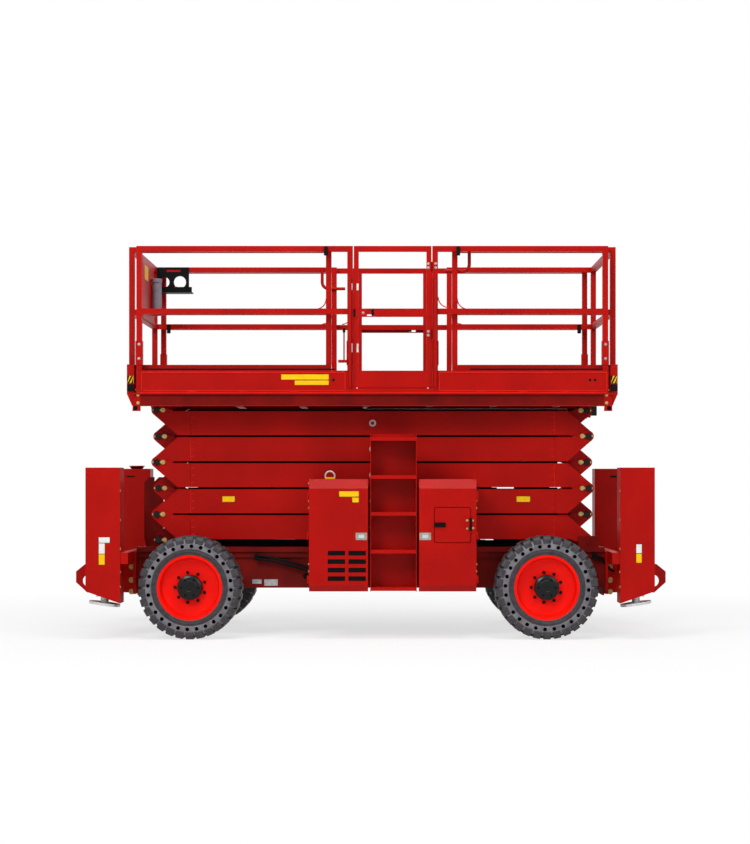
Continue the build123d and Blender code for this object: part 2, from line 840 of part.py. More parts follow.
with BuildPart() as ladders:
    for edge in (ladder_x - ladder_width / 2, ladder_x + ladder_width / 2 - 6):
        block(edge, edge + 6, -ladder_outside, -ladder_inside, module_bottom, ladder_top)
    block(
        ladder_x - ladder_width / 2,
        ladder_x + ladder_width / 2,
        -ladder_inside - 6,
        -ladder_inside,
        module_bottom,
        ladder_top,
    )
    for z in ladder_steps:
        block(
            ladder_x - ladder_width / 2 + 6,
            ladder_x + ladder_width / 2 - 6,
            -ladder_outside,
            -ladder_inside - 6,
            z - 28,
            z,
        )
    mirror(about=Plane.XZ)
write(ladders, "access_ladders")

# Platform bed: deck on two edge channels and joists, arm brackets at the left, shoe tracks at the right
bed_left = stack_shift - platform_half_length + 80
bed_right = stack_shift + platform_half_length - 80
with BuildPart() as bed:
    block(bed_left, bed_right, -platform_half_width, -platform_half_width + 40, channel_bottom, channel_top)
    block(bed_left, bed_right, -platform_half_width + 24, -platform_half_width + 36, beam_bottom, channel_bottom)
    block(bed_left, bed_right, -platform_half_width + 36, -platform_half_width + 90, beam_bottom, beam_bottom + 12)
    block(
        stack_shift - 60,
        bed_right,
        -track_inside - tongue_width,
        -track_inside,
        track_bottom,
        channel_bottom - 10,
    )
    block(left_pin_x - 60, left_pin_x + 160, -580, -540, top_pin_height + 50, channel_bottom - 10)
    with BuildSketch(Plane.XZ.offset(540)):
        with Locations((left_pin_x, top_pin_height)):
            Circle(boss_radius)
        with Locations((left_pin_x + 50, top_pin_height + 60)):
            Rectangle(220, 2)
        make_hull()
    extrude(amount=40)
    bore(left_pin_x, top_pin_height, end_pin_radius + pin_gap, -590, -530)
    hanger_line = platform_half_width - 35
    for way in (-1, 1):
        hanger_start, hanger_end = sorted(stack_shift + way * (stack_shift - x) for x in hanger_x)
        with BuildSketch(Plane.XZ.offset(hanger_line)):
            with BuildLine():
                Polyline(
                    (hanger_start, hanger_low),
                    (hanger_start + 10, channel_bottom + 5),
                    (hanger_end, channel_bottom + 5),
                    (hanger_end, hanger_low),
                    close=True,
                )
            make_face()
        extrude(amount=hanger_thickness)
        block(hanger_start + 10, hanger_end, -platform_half_width, -hanger_line, channel_bottom, channel_bottom + 12)
    mirror(about=Plane.XZ)
    block(
        bed_left,
        bed_right,
        -platform_half_width,
        platform_half_width,
        deck_top - deck_thickness,
        deck_top,
    )
    block(bed_left, bed_right, -830, 830, channel_bottom + 20, deck_top - deck_thickness)
    for x in (-1700, -1150, -600, -50, 500, 1050, 1600):
        block(x - 30, x + 30, -platform_half_width + 24, platform_half_width - 24, channel_bottom - 60, channel_bottom + 20)
write(bed, "platform_bed")

# Guard rails of the main deck: posts, top and mid rails and toe boards each side of the gate
rail_low = deck_top
gate_left = gate_x - gate_width / 2 - gate_gap
gate_right = gate_x + gate_width / 2 + gate_gap
gate_pin_x = gate_x + gate_width / 2 + gate_gap / 2
gate_pin_line = post_line - post_size / 2 - 9.5
with BuildPart() as rails:
    for x0, x1 in ((bed_left, gate_left), (gate_right, bed_right)):
        for x in (x0 + post_size / 2, x1 - post_size / 2):
            post(x, -post_line, rail_low, rail_top_height)
            post(x, -post_line, sleeve_low, sleeve_top, sleeve_size)
        for top in (rail_top_height, mid_rail_top):
            block(x0, x1, -post_line - post_size / 2, -post_line + post_size / 2, top - post_size, top)
        block(x0, x1, -platform_half_width + 4, -platform_half_width + 10, rail_low, toe_board_top)
        block(x0, x1, -post_line - 38, -post_line + post_size / 2, rail_low, rail_low + 20)
    grip_line = post_line + post_size / 2 + handle_stand_off
    for grip_x in (gate_left - handle_inset, gate_right + handle_inset):
        spindle(grip_x, -grip_line, handle_radius, handle_low, handle_top)
        for z in (handle_low + handle_foot, handle_top - handle_foot):
            bore(grip_x, z, handle_stub_radius, -grip_line, -post_line, Mode.ADD)
    mirror(about=Plane.XZ)
    for side, pin_x, post_face in ((-1, gate_pin_x, gate_right), (1, 2 * gate_x - gate_pin_x, gate_left)):
        tab_start, tab_end = sorted((pin_x, post_face + (post_face - pin_x) * 2))
        plate_start, plate_end = sorted((side * gate_pin_line, side * (post_line - post_size / 2 + 2)))
        for z in gate_hinge_heights:
            low = z - 40
            high = z - pin_gap
            block(tab_start, tab_end, plate_start, plate_end, low, high)
            spindle(pin_x, side * gate_pin_line, hinge_radius, low, high)
            spindle(pin_x, side * gate_pin_line, hinge_pin, low, z + 44)
write(rails, "main_rails")

# Gates swing inwards on pins; seen from outside, each hangs on its right-hand post
for side_name in ("near", "far"):
    with BuildPart() as gate:
        x0 = gate_x - gate_width / 2
        x1 = gate_x + gate_width / 2
        for x in (x0 + 20, x1 - 20):
            block(x - 20, x + 20, -post_line - 20, -post_line + 20, deck_top + 12, rail_top_height)
        for top in (rail_top_height, mid_rail_top):
            block(x0, x1, -post_line - 20, -post_line + 20, top - post_size, top)
        block(x0, x1, -post_line - 20, -post_line - 14, deck_top + 12, toe_board_top)
        for z in gate_hinge_heights:
            block(x1 - 8, gate_pin_x, -post_line + 19, -gate_pin_line, z, z + 40)
            spindle(gate_pin_x, -gate_pin_line, hinge_radius, z, z + 40)
            spindle(gate_pin_x, -gate_pin_line, hinge_pin + pin_gap, z - 1, z + 41, Mode.SUBTRACT)
        if side_name == "far":
            mirror(about=Plane.XZ, mode=Mode.REPLACE)
            mirror(about=Plane.YZ.offset(gate_x), mode=Mode.REPLACE)
    write(gate, f"gate_{side_name}")

# Roll-out extension decks with their own rails
for name, way, inner in (("left", -1, left_extension_inner), ("right", 1, right_extension_inner)):
    outer = stack_shift + way * platform_half_length
    with BuildPart() as deck:
        low, high = min(inner, outer), max(inner, outer)
        half = extension_line + post_size / 2
        block(low, high, -half, half, extension_floor - extension_thickness, extension_floor)
        end_low, end_high = min(outer, outer - way * rail_setback), max(outer, outer - way * rail_setback)
        block(end_low, end_high, -half, half, end_plate_low + end_plate_chamfer[1], extension_toe_top)
        for side in (-1, 1):
            edge = side * (half - 6)
            block(
                low, high, min(edge, side * half), max(edge, side * half), extension_floor, extension_toe_top
            )
            corner_in, corner_up = end_plate_chamfer
            with BuildSketch(Plane.XZ.offset(-max(side * half, side * (half + 60)))):
                with BuildLine():
                    Polyline(
                        (outer, extension_toe_top),
                        (outer, end_plate_low + corner_up),
                        (outer - way * corner_in, end_plate_low),
                        (outer - way * 60, end_plate_low),
                        (outer - way * 60, extension_toe_top),
                        close=True,
                    )
                make_face()
            extrude(amount=60)
    write(deck, f"extension_deck_{name}")

    with BuildPart() as fence:
        corner = outer - way * (post_size / 2 + rail_setback)
        for side in (-1, 1):
            line = side * extension_line
            for x in (corner, inner + way * post_size / 2):
                post(x, line, extension_toe_top, rail_top_height)
            for top in (rail_top_height, mid_rail_top):
                block(
                    min(inner, corner - post_size / 2 * way * -1),
                    max(inner, corner - post_size / 2 * way * -1),
                    line - post_size / 2,
                    line + post_size / 2,
                    top - post_size,
                    top,
                )
        for top in (rail_top_height, mid_rail_top):
            block(
                corner - post_size / 2,
                corner + post_size / 2,
                -extension_line,
                extension_line,
                top - post_size,
                top,
            )
    write(fence, f"extension_rail_{name}")

# Controller holder on the far extension rail, and the document tube on the left end rail
rail_inner_face = extension_line - post_size / 2
end_rail_face = stack_shift - platform_half_length + rail_setback + post_size
with BuildPart() as holder:
    back = rail_inner_face - seat_gap
    front = back - holder_plate
    left = end_rail_face + seat_gap
    middle = rail_top_height - holder_height / 2
    with BuildSketch(Plane.XZ.offset(-back)):
        with Locations((left + holder_width / 2, middle)):
            Rectangle(holder_width, holder_height)
        for offset, radius in holder_holes:
            with Locations((left + offset, middle - holder_hole_drop)):
                Circle(radius, mode=Mode.SUBTRACT)
        with Locations((left + 147, rail_top_height - 30)):
            Rectangle(130, 22, mode=Mode.SUBTRACT)
    extrude(amount=holder_plate)
    right = left + holder_width + 40
    tray_low = rail_top_height - holder_height
    block(left, right, front - holder_tray, front + 1, tray_low, tray_low + 8)
    block(left, right, front - holder_tray, front - holder_tray + 5, tray_low, tray_low + 50)
write(holder, "controller_holder")

with BuildPart() as tube:
    plate_x = end_rail_face + seat_gap
    tube_x = plate_x + 50
    block(plate_x, plate_x + 6, -300, 500, mid_rail_top - 30, rail_top_height - 20)
    spindle(tube_x, 300, 44, rail_top_height - 470, rail_top_height - 150)
    block(plate_x, tube_x, 290, 310, rail_top_height - 450, rail_top_height - 170)
write(tube, "document_tube")
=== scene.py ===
"""Rough-terrain scissor lift, stowed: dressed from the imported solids, in metres, in the same frame."""

import math

import bmesh
import bpy
from mathutils import Matrix, Vector


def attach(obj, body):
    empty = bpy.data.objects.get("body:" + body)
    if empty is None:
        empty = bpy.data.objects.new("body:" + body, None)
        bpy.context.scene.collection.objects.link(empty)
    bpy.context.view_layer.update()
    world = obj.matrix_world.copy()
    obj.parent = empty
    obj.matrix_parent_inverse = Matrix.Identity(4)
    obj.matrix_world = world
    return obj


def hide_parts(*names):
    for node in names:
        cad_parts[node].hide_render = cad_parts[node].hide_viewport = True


bpy.ops.wm.read_factory_settings(use_empty=True)
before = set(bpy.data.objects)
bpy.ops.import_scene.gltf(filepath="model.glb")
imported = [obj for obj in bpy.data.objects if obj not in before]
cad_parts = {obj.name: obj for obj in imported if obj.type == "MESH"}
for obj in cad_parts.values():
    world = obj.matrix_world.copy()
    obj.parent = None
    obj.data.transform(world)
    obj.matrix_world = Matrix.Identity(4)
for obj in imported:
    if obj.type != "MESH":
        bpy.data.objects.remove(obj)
scene = bpy.context.scene
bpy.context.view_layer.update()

# The camera stands square to the side, about 17 m off and at the height of the lowest arms.
# The film is shifted, so that the horizon lies below the middle of the picture.
def put(name, data):
    """One object that holds the data, linked into the scene."""
    thing = bpy.data.objects.new(name, data)
    scene.collection.objects.link(thing)
    return thing


lens = bpy.data.cameras.new("side_camera")
lens.lens = 85.95
lens.sensor_width = 36
lens.shift_x = -0.01955
lens.shift_y = 0.0664
lens.clip_end = 200
camera = put("side_camera", lens)
camera.location = (0.171, -17.25, 1.293)
camera.rotation_euler = (math.radians(90), 0, 0)
scene.camera = camera
scene.view_settings.view_transform = "Standard"

# A pale studio floor and white surroundings, with four large soft boxes: two in front, one above, one behind.
# Camera rays see plain white, and the floor keeps a share of the machine's shadow.
# Further off, from shadow_reach to shadow_end in metres, the floor turns into the white of the backdrop.
floor_share = 0.3
shadow_reach = 2.2
shadow_end = 6.5
world = bpy.data.worlds.new("studio")
scene.world = world
world.use_nodes = True
sky = world.node_tree
sky.nodes.clear()
seen = sky.nodes.new("ShaderNodeLightPath")
glow = sky.nodes.new("ShaderNodeBackground")
glow.inputs["Color"].default_value = (1, 1, 1, 1)
glow.inputs["Strength"].default_value = 0.22
backdrop = sky.nodes.new("ShaderNodeBackground")
backdrop.inputs["Color"].default_value = (1, 1, 1, 1)
backdrop.inputs["Strength"].default_value = 1
choice = sky.nodes.new("ShaderNodeMixShader")
sky_out = sky.nodes.new("ShaderNodeOutputWorld")


def direct_rays(web, seen_by):
    """One where the camera, a reflection or clear glass looks straight at the surroundings."""
    total = seen_by.outputs["Is Camera Ray"]
    for kind in ("Is Glossy Ray", "Is Transmission Ray"):
        either = web.nodes.new("ShaderNodeMath")
        either.operation = "MAXIMUM"
        web.links.new(total, either.inputs[0])
        web.links.new(seen_by.outputs[kind], either.inputs[1])
        total = either.outputs[0]
    return total


sky.links.new(direct_rays(sky, seen), choice.inputs["Fac"])
sky.links.new(glow.outputs[0], choice.inputs[1])
sky.links.new(backdrop.outputs[0], choice.inputs[2])
sky.links.new(choice.outputs[0], sky_out.inputs["Surface"])

floor_mesh = bpy.data.meshes.new("studio_floor")
floor_mesh.from_pydata([(-60, -60, 0), (60, -60, 0), (60, 60, 0), (-60, 60, 0)], [], [(0, 1, 2, 3)])
studio_floor = put("studio_floor", floor_mesh)
pale = bpy.data.materials.new("pale_floor")
pale.use_nodes = True
tree = pale.node_tree
tree.nodes.clear()
rays = tree.nodes.new("ShaderNodeLightPath")
matt = tree.nodes.new("ShaderNodeBsdfDiffuse")
matt.inputs["Color"].default_value = (0.82, 0.82, 0.82, 1)
white = tree.nodes.new("ShaderNodeEmission")
white.inputs["Color"].default_value = (1, 1, 1, 1)
spot = tree.nodes.new("ShaderNodeTexCoord")
away = tree.nodes.new("ShaderNodeVectorMath")
away.operation = "LENGTH"
fade = tree.nodes.new("ShaderNodeMapRange")
fade.inputs["From Min"].default_value = shadow_reach
fade.inputs["From Max"].default_value = shadow_end
fade.inputs["To Min"].default_value = 1 - floor_share
fade.inputs["To Max"].default_value = 1
share = tree.nodes.new("ShaderNodeMath")
share.operation = "MULTIPLY"
blend = tree.nodes.new("ShaderNodeMixShader")
floor_out = tree.nodes.new("ShaderNodeOutputMaterial")
tree.links.new(spot.outputs["Object"], away.inputs[0])
tree.links.new(away.outputs["Value"], fade.inputs["Value"])
tree.links.new(direct_rays(tree, rays), share.inputs[0])
tree.links.new(fade.outputs["Result"], share.inputs[1])
tree.links.new(share.outputs[0], blend.inputs["Fac"])
tree.links.new(matt.outputs[0], blend.inputs[1])
tree.links.new(white.outputs[0], blend.inputs[2])
tree.links.new(blend.outputs[0], floor_out.inputs["Surface"])
floor_mesh.materials.append(pale)

for name, place, size, power in (
    ("key_box", (-5.5, -11, 9.5), 5, 950),
    ("fill_box", (7.5, -10, 6.5), 6, 330),
    ("top_box", (0.5, -3.5, 12), 7, 850),
    ("back_box", (1, 11, 9), 8, 420),
):
    lamp = bpy.data.lights.new(name, "AREA")
    lamp.size = size
    lamp.energy = power
    lamp_object = put(name, lamp)
    lamp_object.location = place
    aim = Vector((0, 0, 1.3)) - Vector(place)
    lamp_object.rotation_euler = aim.to_track_quat("-Z", "Y").to_euler()


# Paint on the steelwork: one signal red, sprayed, with slight mottling and dust low down. A darker copy of it
# is painted shade on the chassis, axles and beam web, and a lighter copy is painted highlight on edges, welds
# and treads.
# Each finish is a small node tree on Object coordinates.
def srgb(red, green, blue):
    """A colour as it is seen, turned into the light that the shader works with."""
    channel = [c / 255 for c in (red, green, blue)]
    return tuple(c / 12.92 if c <= 0.04045 else ((c + 0.055) / 1.055) ** 2.4 for c in channel) + (1,)


def coating(
    name,
    colour,
    shade,
    rough,
    metal=0.0,
    coat=0.0,
    patch=3.0,
    grain=260.0,
    relief=0.08,
    dust=0.0,
    shine=0.1,
):
    """A sprayed, cast or drawn finish: two tones in patches, fine grain, and dust near the ground."""
    made = bpy.data.materials.new(name)
    made.use_nodes = True
    t = made.node_tree
    shader = t.nodes["Principled BSDF"]
    shader.inputs["Metallic"].default_value = metal
    shader.inputs["Coat Weight"].default_value = coat
    shader.inputs["Coat Roughness"].default_value = 0.12
    shader.inputs["Specular IOR Level"].default_value = shine
    place = t.nodes.new("ShaderNodeTexCoord")
    clouds = t.nodes.new("ShaderNodeTexNoise")
    clouds.inputs["Scale"].default_value = patch
    clouds.inputs["Detail"].default_value = 6
    spread = t.nodes.new("ShaderNodeMapRange")
    spread.inputs["From Min"].default_value = 0.35
    spread.inputs["From Max"].default_value = 0.65
    tones = t.nodes.new("ShaderNodeMix")
    tones.data_type = "RGBA"
    tones.inputs["A"].default_value = shade
    tones.inputs["B"].default_value = colour
    t.links.new(place.outputs["Object"], clouds.inputs["Vector"])
    t.links.new(clouds.outputs["Fac"], spread.inputs["Value"])
    t.links.new(spread.outputs["Result"], tones.inputs["Factor"])
    surface = tones.outputs["Result"]
    fine = t.nodes.new("ShaderNodeTexNoise")
    fine.inputs["Scale"].default_value = grain
    fine.inputs["Detail"].default_value = 3
    t.links.new(place.outputs["Object"], fine.inputs["Vector"])
    gloss = t.nodes.new("ShaderNodeMapRange")
    gloss.inputs["To Min"].default_value = rough - 0.07
    gloss.inputs["To Max"].default_value = rough + 0.09
    t.links.new(fine.outputs["Fac"], gloss.inputs["Value"])
    t.links.new(gloss.outputs["Result"], shader.inputs["Roughness"])
    bump = t.nodes.new("ShaderNodeBump")
    bump.inputs["Strength"].default_value = relief
    bump.inputs["Distance"].default_value = 0.002
    t.links.new(fine.outputs["Fac"], bump.inputs["Height"])
    t.links.new(bump.outputs["Normal"], shader.inputs["Normal"])
    if dust:
        height = t.nodes.new("ShaderNodeSeparateXYZ")
        t.links.new(place.outputs["Object"], height.inputs["Vector"])
        low = t.nodes.new("ShaderNodeMapRange")
        low.inputs["From Min"].default_value = 0.95
        low.inputs["From Max"].default_value = 0.1
        low.inputs["To Max"].default_value = dust
        t.links.new(height.outputs["Z"], low.inputs["Value"])
        film = t.nodes.new("ShaderNodeMath")
        film.operation = "MULTIPLY"
        t.links.new(low.outputs["Result"], film.inputs[0])
        t.links.new(clouds.outputs["Fac"], film.inputs[1])
        dusty = t.nodes.new("ShaderNodeMix")
        dusty.data_type = "RGBA"
        dusty.inputs["B"].default_value = srgb(120, 108, 96)
        t.links.new(film.outputs[0], dusty.inputs["Factor"])
        t.links.new(surface, dusty.inputs["A"])
        surface = dusty.outputs["Result"]
    t.links.new(surface, shader.inputs["Base Color"])
    return made


body_red = coating("body_red", srgb(177, 11, 3), srgb(160, 7, 2), 0.42, coat=0.02, patch=2.2)
# The chassis red is the body red made darker: painted shade for the parts low in the machine's shadow, with
# dust low down as well.
shaded_frame_paint = coating("shaded_frame_paint", srgb(122, 7, 3), srgb(92, 5, 2), 0.5, patch=4, dust=0.08)
bright_red = coating("bright_red", srgb(244, 16, 2), srgb(234, 12, 2), 0.42, coat=0.03, patch=5)
machine_black = coating(
    "machine_black", srgb(15, 15, 16), srgb(9, 9, 10), 0.42, patch=6, relief=0.14, shine=0.06
)
cylinder_gloss = coating("cylinder_gloss", srgb(12, 12, 14), srgb(7, 7, 8), 0.24, patch=5, shine=0.22)
pale_zinc = coating(
    "pale_zinc", srgb(216, 218, 216), srgb(182, 185, 187), 0.42, metal=0.4, patch=22, relief=0.1
)
bright_chrome = coating("bright_chrome", srgb(214, 216, 220), srgb(200, 202, 206), 0.12, metal=1, relief=0.01)
nylon_black = coating("nylon_black", srgb(40, 40, 42), srgb(32, 32, 34), 0.5, patch=8, relief=0.12)

own_finishes = (
    # The chassis, axles, knuckles, tie rods and lower shoes take the darker red of painted shade.
    (("chassis", "front_axle", "rear_axle", "knuckle", "tie_rod", "lower_shoe"), shaded_frame_paint),
    ("rim_", bright_red),
    (("engine", "oil_tank", "controller_holder"), machine_black),
    ("lift_barrel", cylinder_gloss),
    ("lift_rod", bright_chrome),
    ("outrigger_leg", pale_zinc),
    ("upper_shoe", nylon_black),
)
for name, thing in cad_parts.items():
    finish = body_red
    for starts, other in own_finishes:
        if name.startswith(starts):
            finish = other
    thing.data.materials.clear()
    thing.data.materials.append(finish)


# Solid tyres: black rubber, moulded in one piece and pressed on their rims. Each is turned round its axle,
# with a ring of cooling holes in the outer wall and two staggered rows of chunky lugs over the shoulders.
def plain_mesh(name, made):
    """The mesh in progress as a plain mesh, with its faces turned outwards."""
    bmesh.ops.recalc_face_normals(made, faces=made.faces)
    shape = bpy.data.meshes.new(name)
    made.to_mesh(shape)
    made.free()
    return shape


def collect(name, made, body, finish):
    """One finished piece from a mesh in progress, in metres, riding on its body."""
    thing = put(name, plain_mesh(name, made))
    thing.data.materials.append(finish)
    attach(thing, body)
    return thing


def bake(thing):
    """The evaluated shape as a plain mesh, with the modifiers gone."""
    graph = bpy.context.evaluated_depsgraph_get()
    plain = bpy.data.meshes.new_from_object(thing.evaluated_get(graph))
    thing.modifiers.clear()
    thing.data = plain
    return thing


def turned(made, profile, steps, side=1):
    """A closed profile of (radius, out) points in mm, spun round the Y axis."""
    rings = []
    for step in range(steps):
        angle = 2 * math.pi * step / steps
        ring = [
            made.verts.new((r / 1000 * math.cos(angle), side * out / 1000, r / 1000 * math.sin(angle)))
            for r, out in profile
        ]
        rings.append(ring)
    count = len(profile)
    for step in range(steps):
        first, second = rings[step], rings[(step + 1) % steps]
        for k in range(count):
            made.faces.new((first[k], first[(k + 1) % count], second[(k + 1) % count], second[k]))


moulded = {"grain": 420, "relief": 0.2, "dust": 0.1}
rubber = coating("tyre_rubber", srgb(54, 52, 57), srgb(38, 36, 41), 0.48, patch=30, shine=0.35, **moulded)
# The outer wall's band is the same rubber in a lighter grey: a painted highlight where the wall catches the
# light.
wall_painted_highlight = coating("tyre_wall_painted_highlight", srgb(120, 118, 124), srgb(84, 82, 89), 0.5, patch=14, shine=0.4, **moulded)
# The holes' inner walls are the rubber painted near black: painted shade inside the holes.
hole_painted_shade = coating("tyre_hole_painted_shade", srgb(12, 12, 13), srgb(7, 7, 8), 0.7, patch=18)
sides = (("near", -1), ("far", 1))
axles = (("front", -1445), ("rear", 1415))
axle_height = 415
tyre_face = 1145
tyre_half_width = 150
highlight_band = (302, 400)
hole_circle = 333
hole_count = 28
lug_count = 30
wall_profile = [
    (262.5, -150), (292, -150), (296, -147), (312, -147), (330, -149), (352, -148), (376, -136), (389, -112),
    (392, -60), (392, 60), (389, 112), (376, 136), (352, 148), (312, 149), (308, 146), (296, 146), (292, 150),
    (284, 150), (280, 145), (268, 145), (262.5, 142),
]
lug_outline = [
    (386, -6), (413, -2), (415, 8), (415, 118), (409, 138), (386, 149), (356, 149.8), (350, 145), (378, 104),
]


def copies_on(web, points, shape, turned_by, finish):
    """The last steps of a tree: the shape copied on the points, made real and given its finish."""
    copy = web.nodes.new("GeometryNodeInstanceOnPoints")
    real = web.nodes.new("GeometryNodeRealizeInstances")
    dressed = web.nodes.new("GeometryNodeSetMaterial")
    result = web.nodes.new("NodeGroupOutput")
    web.links.new(points, copy.inputs["Points"])
    web.links.new(shape, copy.inputs["Instance"])
    web.links.new(turned_by, copy.inputs["Rotation"])
    web.links.new(copy.outputs[0], real.inputs[0])
    web.links.new(real.outputs[0], dressed.inputs["Geometry"])
    web.links.new(finish, dressed.inputs["Material"])
    web.links.new(dressed.outputs[0], result.inputs[0])


round_tree = bpy.data.node_groups.new("copies_round_the_axle", "GeometryNodeTree")
round_tree.is_modifier = True
face = round_tree.interface
face.new_socket(name="One copy", in_out="INPUT", socket_type="NodeSocketGeometry")
copies_socket = face.new_socket(name="Copies", in_out="INPUT", socket_type="NodeSocketInt")
start_socket = face.new_socket(name="First angle", in_out="INPUT", socket_type="NodeSocketFloat")
finish_socket = face.new_socket(name="Finish", in_out="INPUT", socket_type="NodeSocketMaterial")
face.new_socket(name="Ring", in_out="OUTPUT", socket_type="NodeSocketGeometry")
n = round_tree.nodes
given = n.new("NodeGroupInput")
spots = n.new("GeometryNodePoints")
number = n.new("GeometryNodeInputIndex")
portion = n.new("ShaderNodeMath")
portion.operation = "DIVIDE"
turn = n.new("ShaderNodeMath")
turn.operation = "MULTIPLY_ADD"
turn.inputs[1].default_value = 2 * math.pi
tilt = n.new("ShaderNodeCombineXYZ")
link = round_tree.links.new
link(given.outputs["Copies"], spots.inputs["Count"])
link(number.outputs[0], portion.inputs[0])
link(given.outputs["Copies"], portion.inputs[1])
link(portion.outputs[0], turn.inputs[0])
link(given.outputs["First angle"], turn.inputs[2])
link(turn.outputs[0], tilt.inputs["Y"])
copies_on(round_tree, spots.outputs[0], given.outputs["One copy"], tilt.outputs[0], given.outputs["Finish"])


def ring_of(made, name, copies, first_angle, finish):
    """Copies of one shape round the Y axis, as a plain mesh."""
    thing = put(name, plain_mesh(name, made))
    repeat = thing.modifiers.new("round", "NODES")
    repeat.node_group = round_tree
    repeat[copies_socket.identifier] = copies
    repeat[start_socket.identifier] = first_angle
    repeat[finish_socket.identifier] = finish
    bake(thing)
    ring = thing.data
    bpy.data.objects.remove(thing)
    return ring


def close_plate(made, rows):
    """Faces over two like rows of points, and round the edge between them."""
    made.faces.new(rows[0])
    made.faces.new(rows[1][::-1])
    count = len(rows[0])
    for k in range(count):
        j = (k + 1) % count
        made.faces.new((rows[0][k], rows[0][j], rows[1][j], rows[1][k]))


def lug(side):
    """One lug of the tread, from the middle of the tyre over its shoulder."""
    made = bmesh.new()
    rows = []
    for edge in (-1, 1):
        row = []
        for r, out in lug_outline:
            half = 17 + 14 * min(1, max(0, out) / 110)
            lean = 16 * (1 - min(1, max(0, out) / 120))
            row.append(made.verts.new((r / 1000, side * out / 1000, (edge * half + lean) / 1000)))
        rows.append(row)
    close_plate(made, rows)
    bmesh.ops.bevel(made, geom=made.edges[:], offset=0.004, segments=1, affect="EDGES", clamp_overlap=True)
    return made


for end, wheel_x in axles:
    for side_name, side in sides:
        made = bmesh.new()
        turned(made, wall_profile, 112, side)
        # Faces of the outer wall within the band take the lighter grey of painted highlight.
        for wall in made.faces:
            middle = wall.calc_center_median() * 1000
            if middle.y * side > 100 and highlight_band[0] < math.hypot(middle.x, middle.z) < highlight_band[1]:
                wall.material_index = 1
        tyre = put(f"tyre_with_tread_{end}_{side_name}", plain_mesh("carcass", made))
        made = bmesh.new()
        bmesh.ops.create_cone(made, cap_ends=True, segments=14, radius1=0.0145, radius2=0.0165, depth=0.08)
        turn_out = Matrix.Rotation(math.radians(-90 * side), 4, "X")
        start = Matrix.Translation((hole_circle / 1000, side * 0.14, 0))
        bmesh.ops.transform(made, matrix=start @ turn_out, verts=made.verts)
        # The cutters carry the near-black finish, so the hole walls get painted shade.
        drills = put("drills", ring_of(made, "drill", hole_count, 0.05, hole_painted_shade))
        for finish in (rubber, wall_painted_highlight, hole_painted_shade):
            tyre.data.materials.append(finish)
        cut = tyre.modifiers.new("holes", "BOOLEAN")
        cut.operation = "DIFFERENCE"
        cut.solver = "EXACT"
        cut.material_mode = "TRANSFER"
        cut.object = drills
        bake(tyre)
        bpy.data.objects.remove(drills)
        whole = bmesh.new()
        whole.from_mesh(tyre.data)
        dark_slot = [finish.name for finish in tyre.data.materials].index(rubber.name)
        for row, first in ((1, 0.0), (-1, math.pi / lug_count)):
            lugs = ring_of(lug(row), "lug", lug_count, first, rubber)
            for wall in lugs.polygons:
                wall.material_index = dark_slot
            whole.from_mesh(lugs)
        place = (wheel_x / 1000, side * (tyre_face - tyre_half_width) / 1000, axle_height / 1000)
        bmesh.ops.translate(whole, vec=place, verts=whole.verts)
        whole.to_mesh(tyre.data)
        whole.free()
        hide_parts(f"tyre_{end}_{side_name}")
        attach(tyre, f"wheel_{end}_{side_name}")

# Wheel nuts: a ring of black hexagon nuts on washers holds each rim to its hub. The same tree sets the
# zinc-plated heads wherever plates are bolted on: one head on each point, along the way the point holds.
zinc_yellow = coating(
    "zinc_yellow", srgb(196, 174, 112), srgb(160, 138, 84), 0.35, metal=0.8, patch=60, relief=0.05
)
bolt_tree = bpy.data.node_groups.new("bolt_heads", "GeometryNodeTree")
bolt_tree.is_modifier = True
face = bolt_tree.interface
face.new_socket(name="Spots", in_out="INPUT", socket_type="NodeSocketGeometry")
radius_socket = face.new_socket(name="Head radius", in_out="INPUT", socket_type="NodeSocketFloat")
height_socket = face.new_socket(name="Head height", in_out="INPUT", socket_type="NodeSocketFloat")
plating_socket = face.new_socket(name="Plating", in_out="INPUT", socket_type="NodeSocketMaterial")
face.new_socket(name="Heads", in_out="OUTPUT", socket_type="NodeSocketGeometry")
n = bolt_tree.nodes
link = bolt_tree.links.new
given = n.new("NodeGroupInput")
hexagon = n.new("GeometryNodeMeshCylinder")
hexagon.inputs["Vertices"].default_value = 6
washer = n.new("GeometryNodeMeshCylinder")
washer.inputs["Vertices"].default_value = 16
both = n.new("GeometryNodeJoinGeometry")
way = n.new("GeometryNodeInputNamedAttribute")
way.data_type = "FLOAT_VECTOR"
way.inputs["Name"].default_value = "aim"
lean = n.new("FunctionNodeAlignRotationToVector")
lean.axis = "Z"


def scaled(value, factor):
    """A share of one of the bolt tree's measures."""
    product = bolt_tree.nodes.new("ShaderNodeMath")
    product.operation = "MULTIPLY"
    product.inputs[1].default_value = factor
    bolt_tree.links.new(value, product.inputs[0])
    return product.outputs[0]


def seated(shape, height):
    """A cylinder of the bolt tree, lifted to stand on the surface."""
    lift = bolt_tree.nodes.new("ShaderNodeCombineXYZ")
    moved = bolt_tree.nodes.new("GeometryNodeTransform")
    bolt_tree.links.new(height, lift.inputs["Z"])
    bolt_tree.links.new(shape, moved.inputs["Geometry"])
    bolt_tree.links.new(lift.outputs[0], moved.inputs["Translation"])
    return moved.outputs[0]


head_radius = given.outputs["Head radius"]
head_height = given.outputs["Head height"]
link(head_radius, hexagon.inputs["Radius"])
link(head_height, hexagon.inputs["Depth"])
link(scaled(head_radius, 1.45), washer.inputs["Radius"])
link(scaled(head_height, 0.25), washer.inputs["Depth"])
link(seated(hexagon.outputs["Mesh"], scaled(head_height, 0.5)), both.inputs[0])
link(seated(washer.outputs["Mesh"], scaled(head_height, 0.125)), both.inputs[0])
link(way.outputs["Attribute"], lean.inputs["Vector"])
copies_on(bolt_tree, given.outputs["Spots"], both.outputs[0], lean.outputs[0], given.outputs["Plating"])


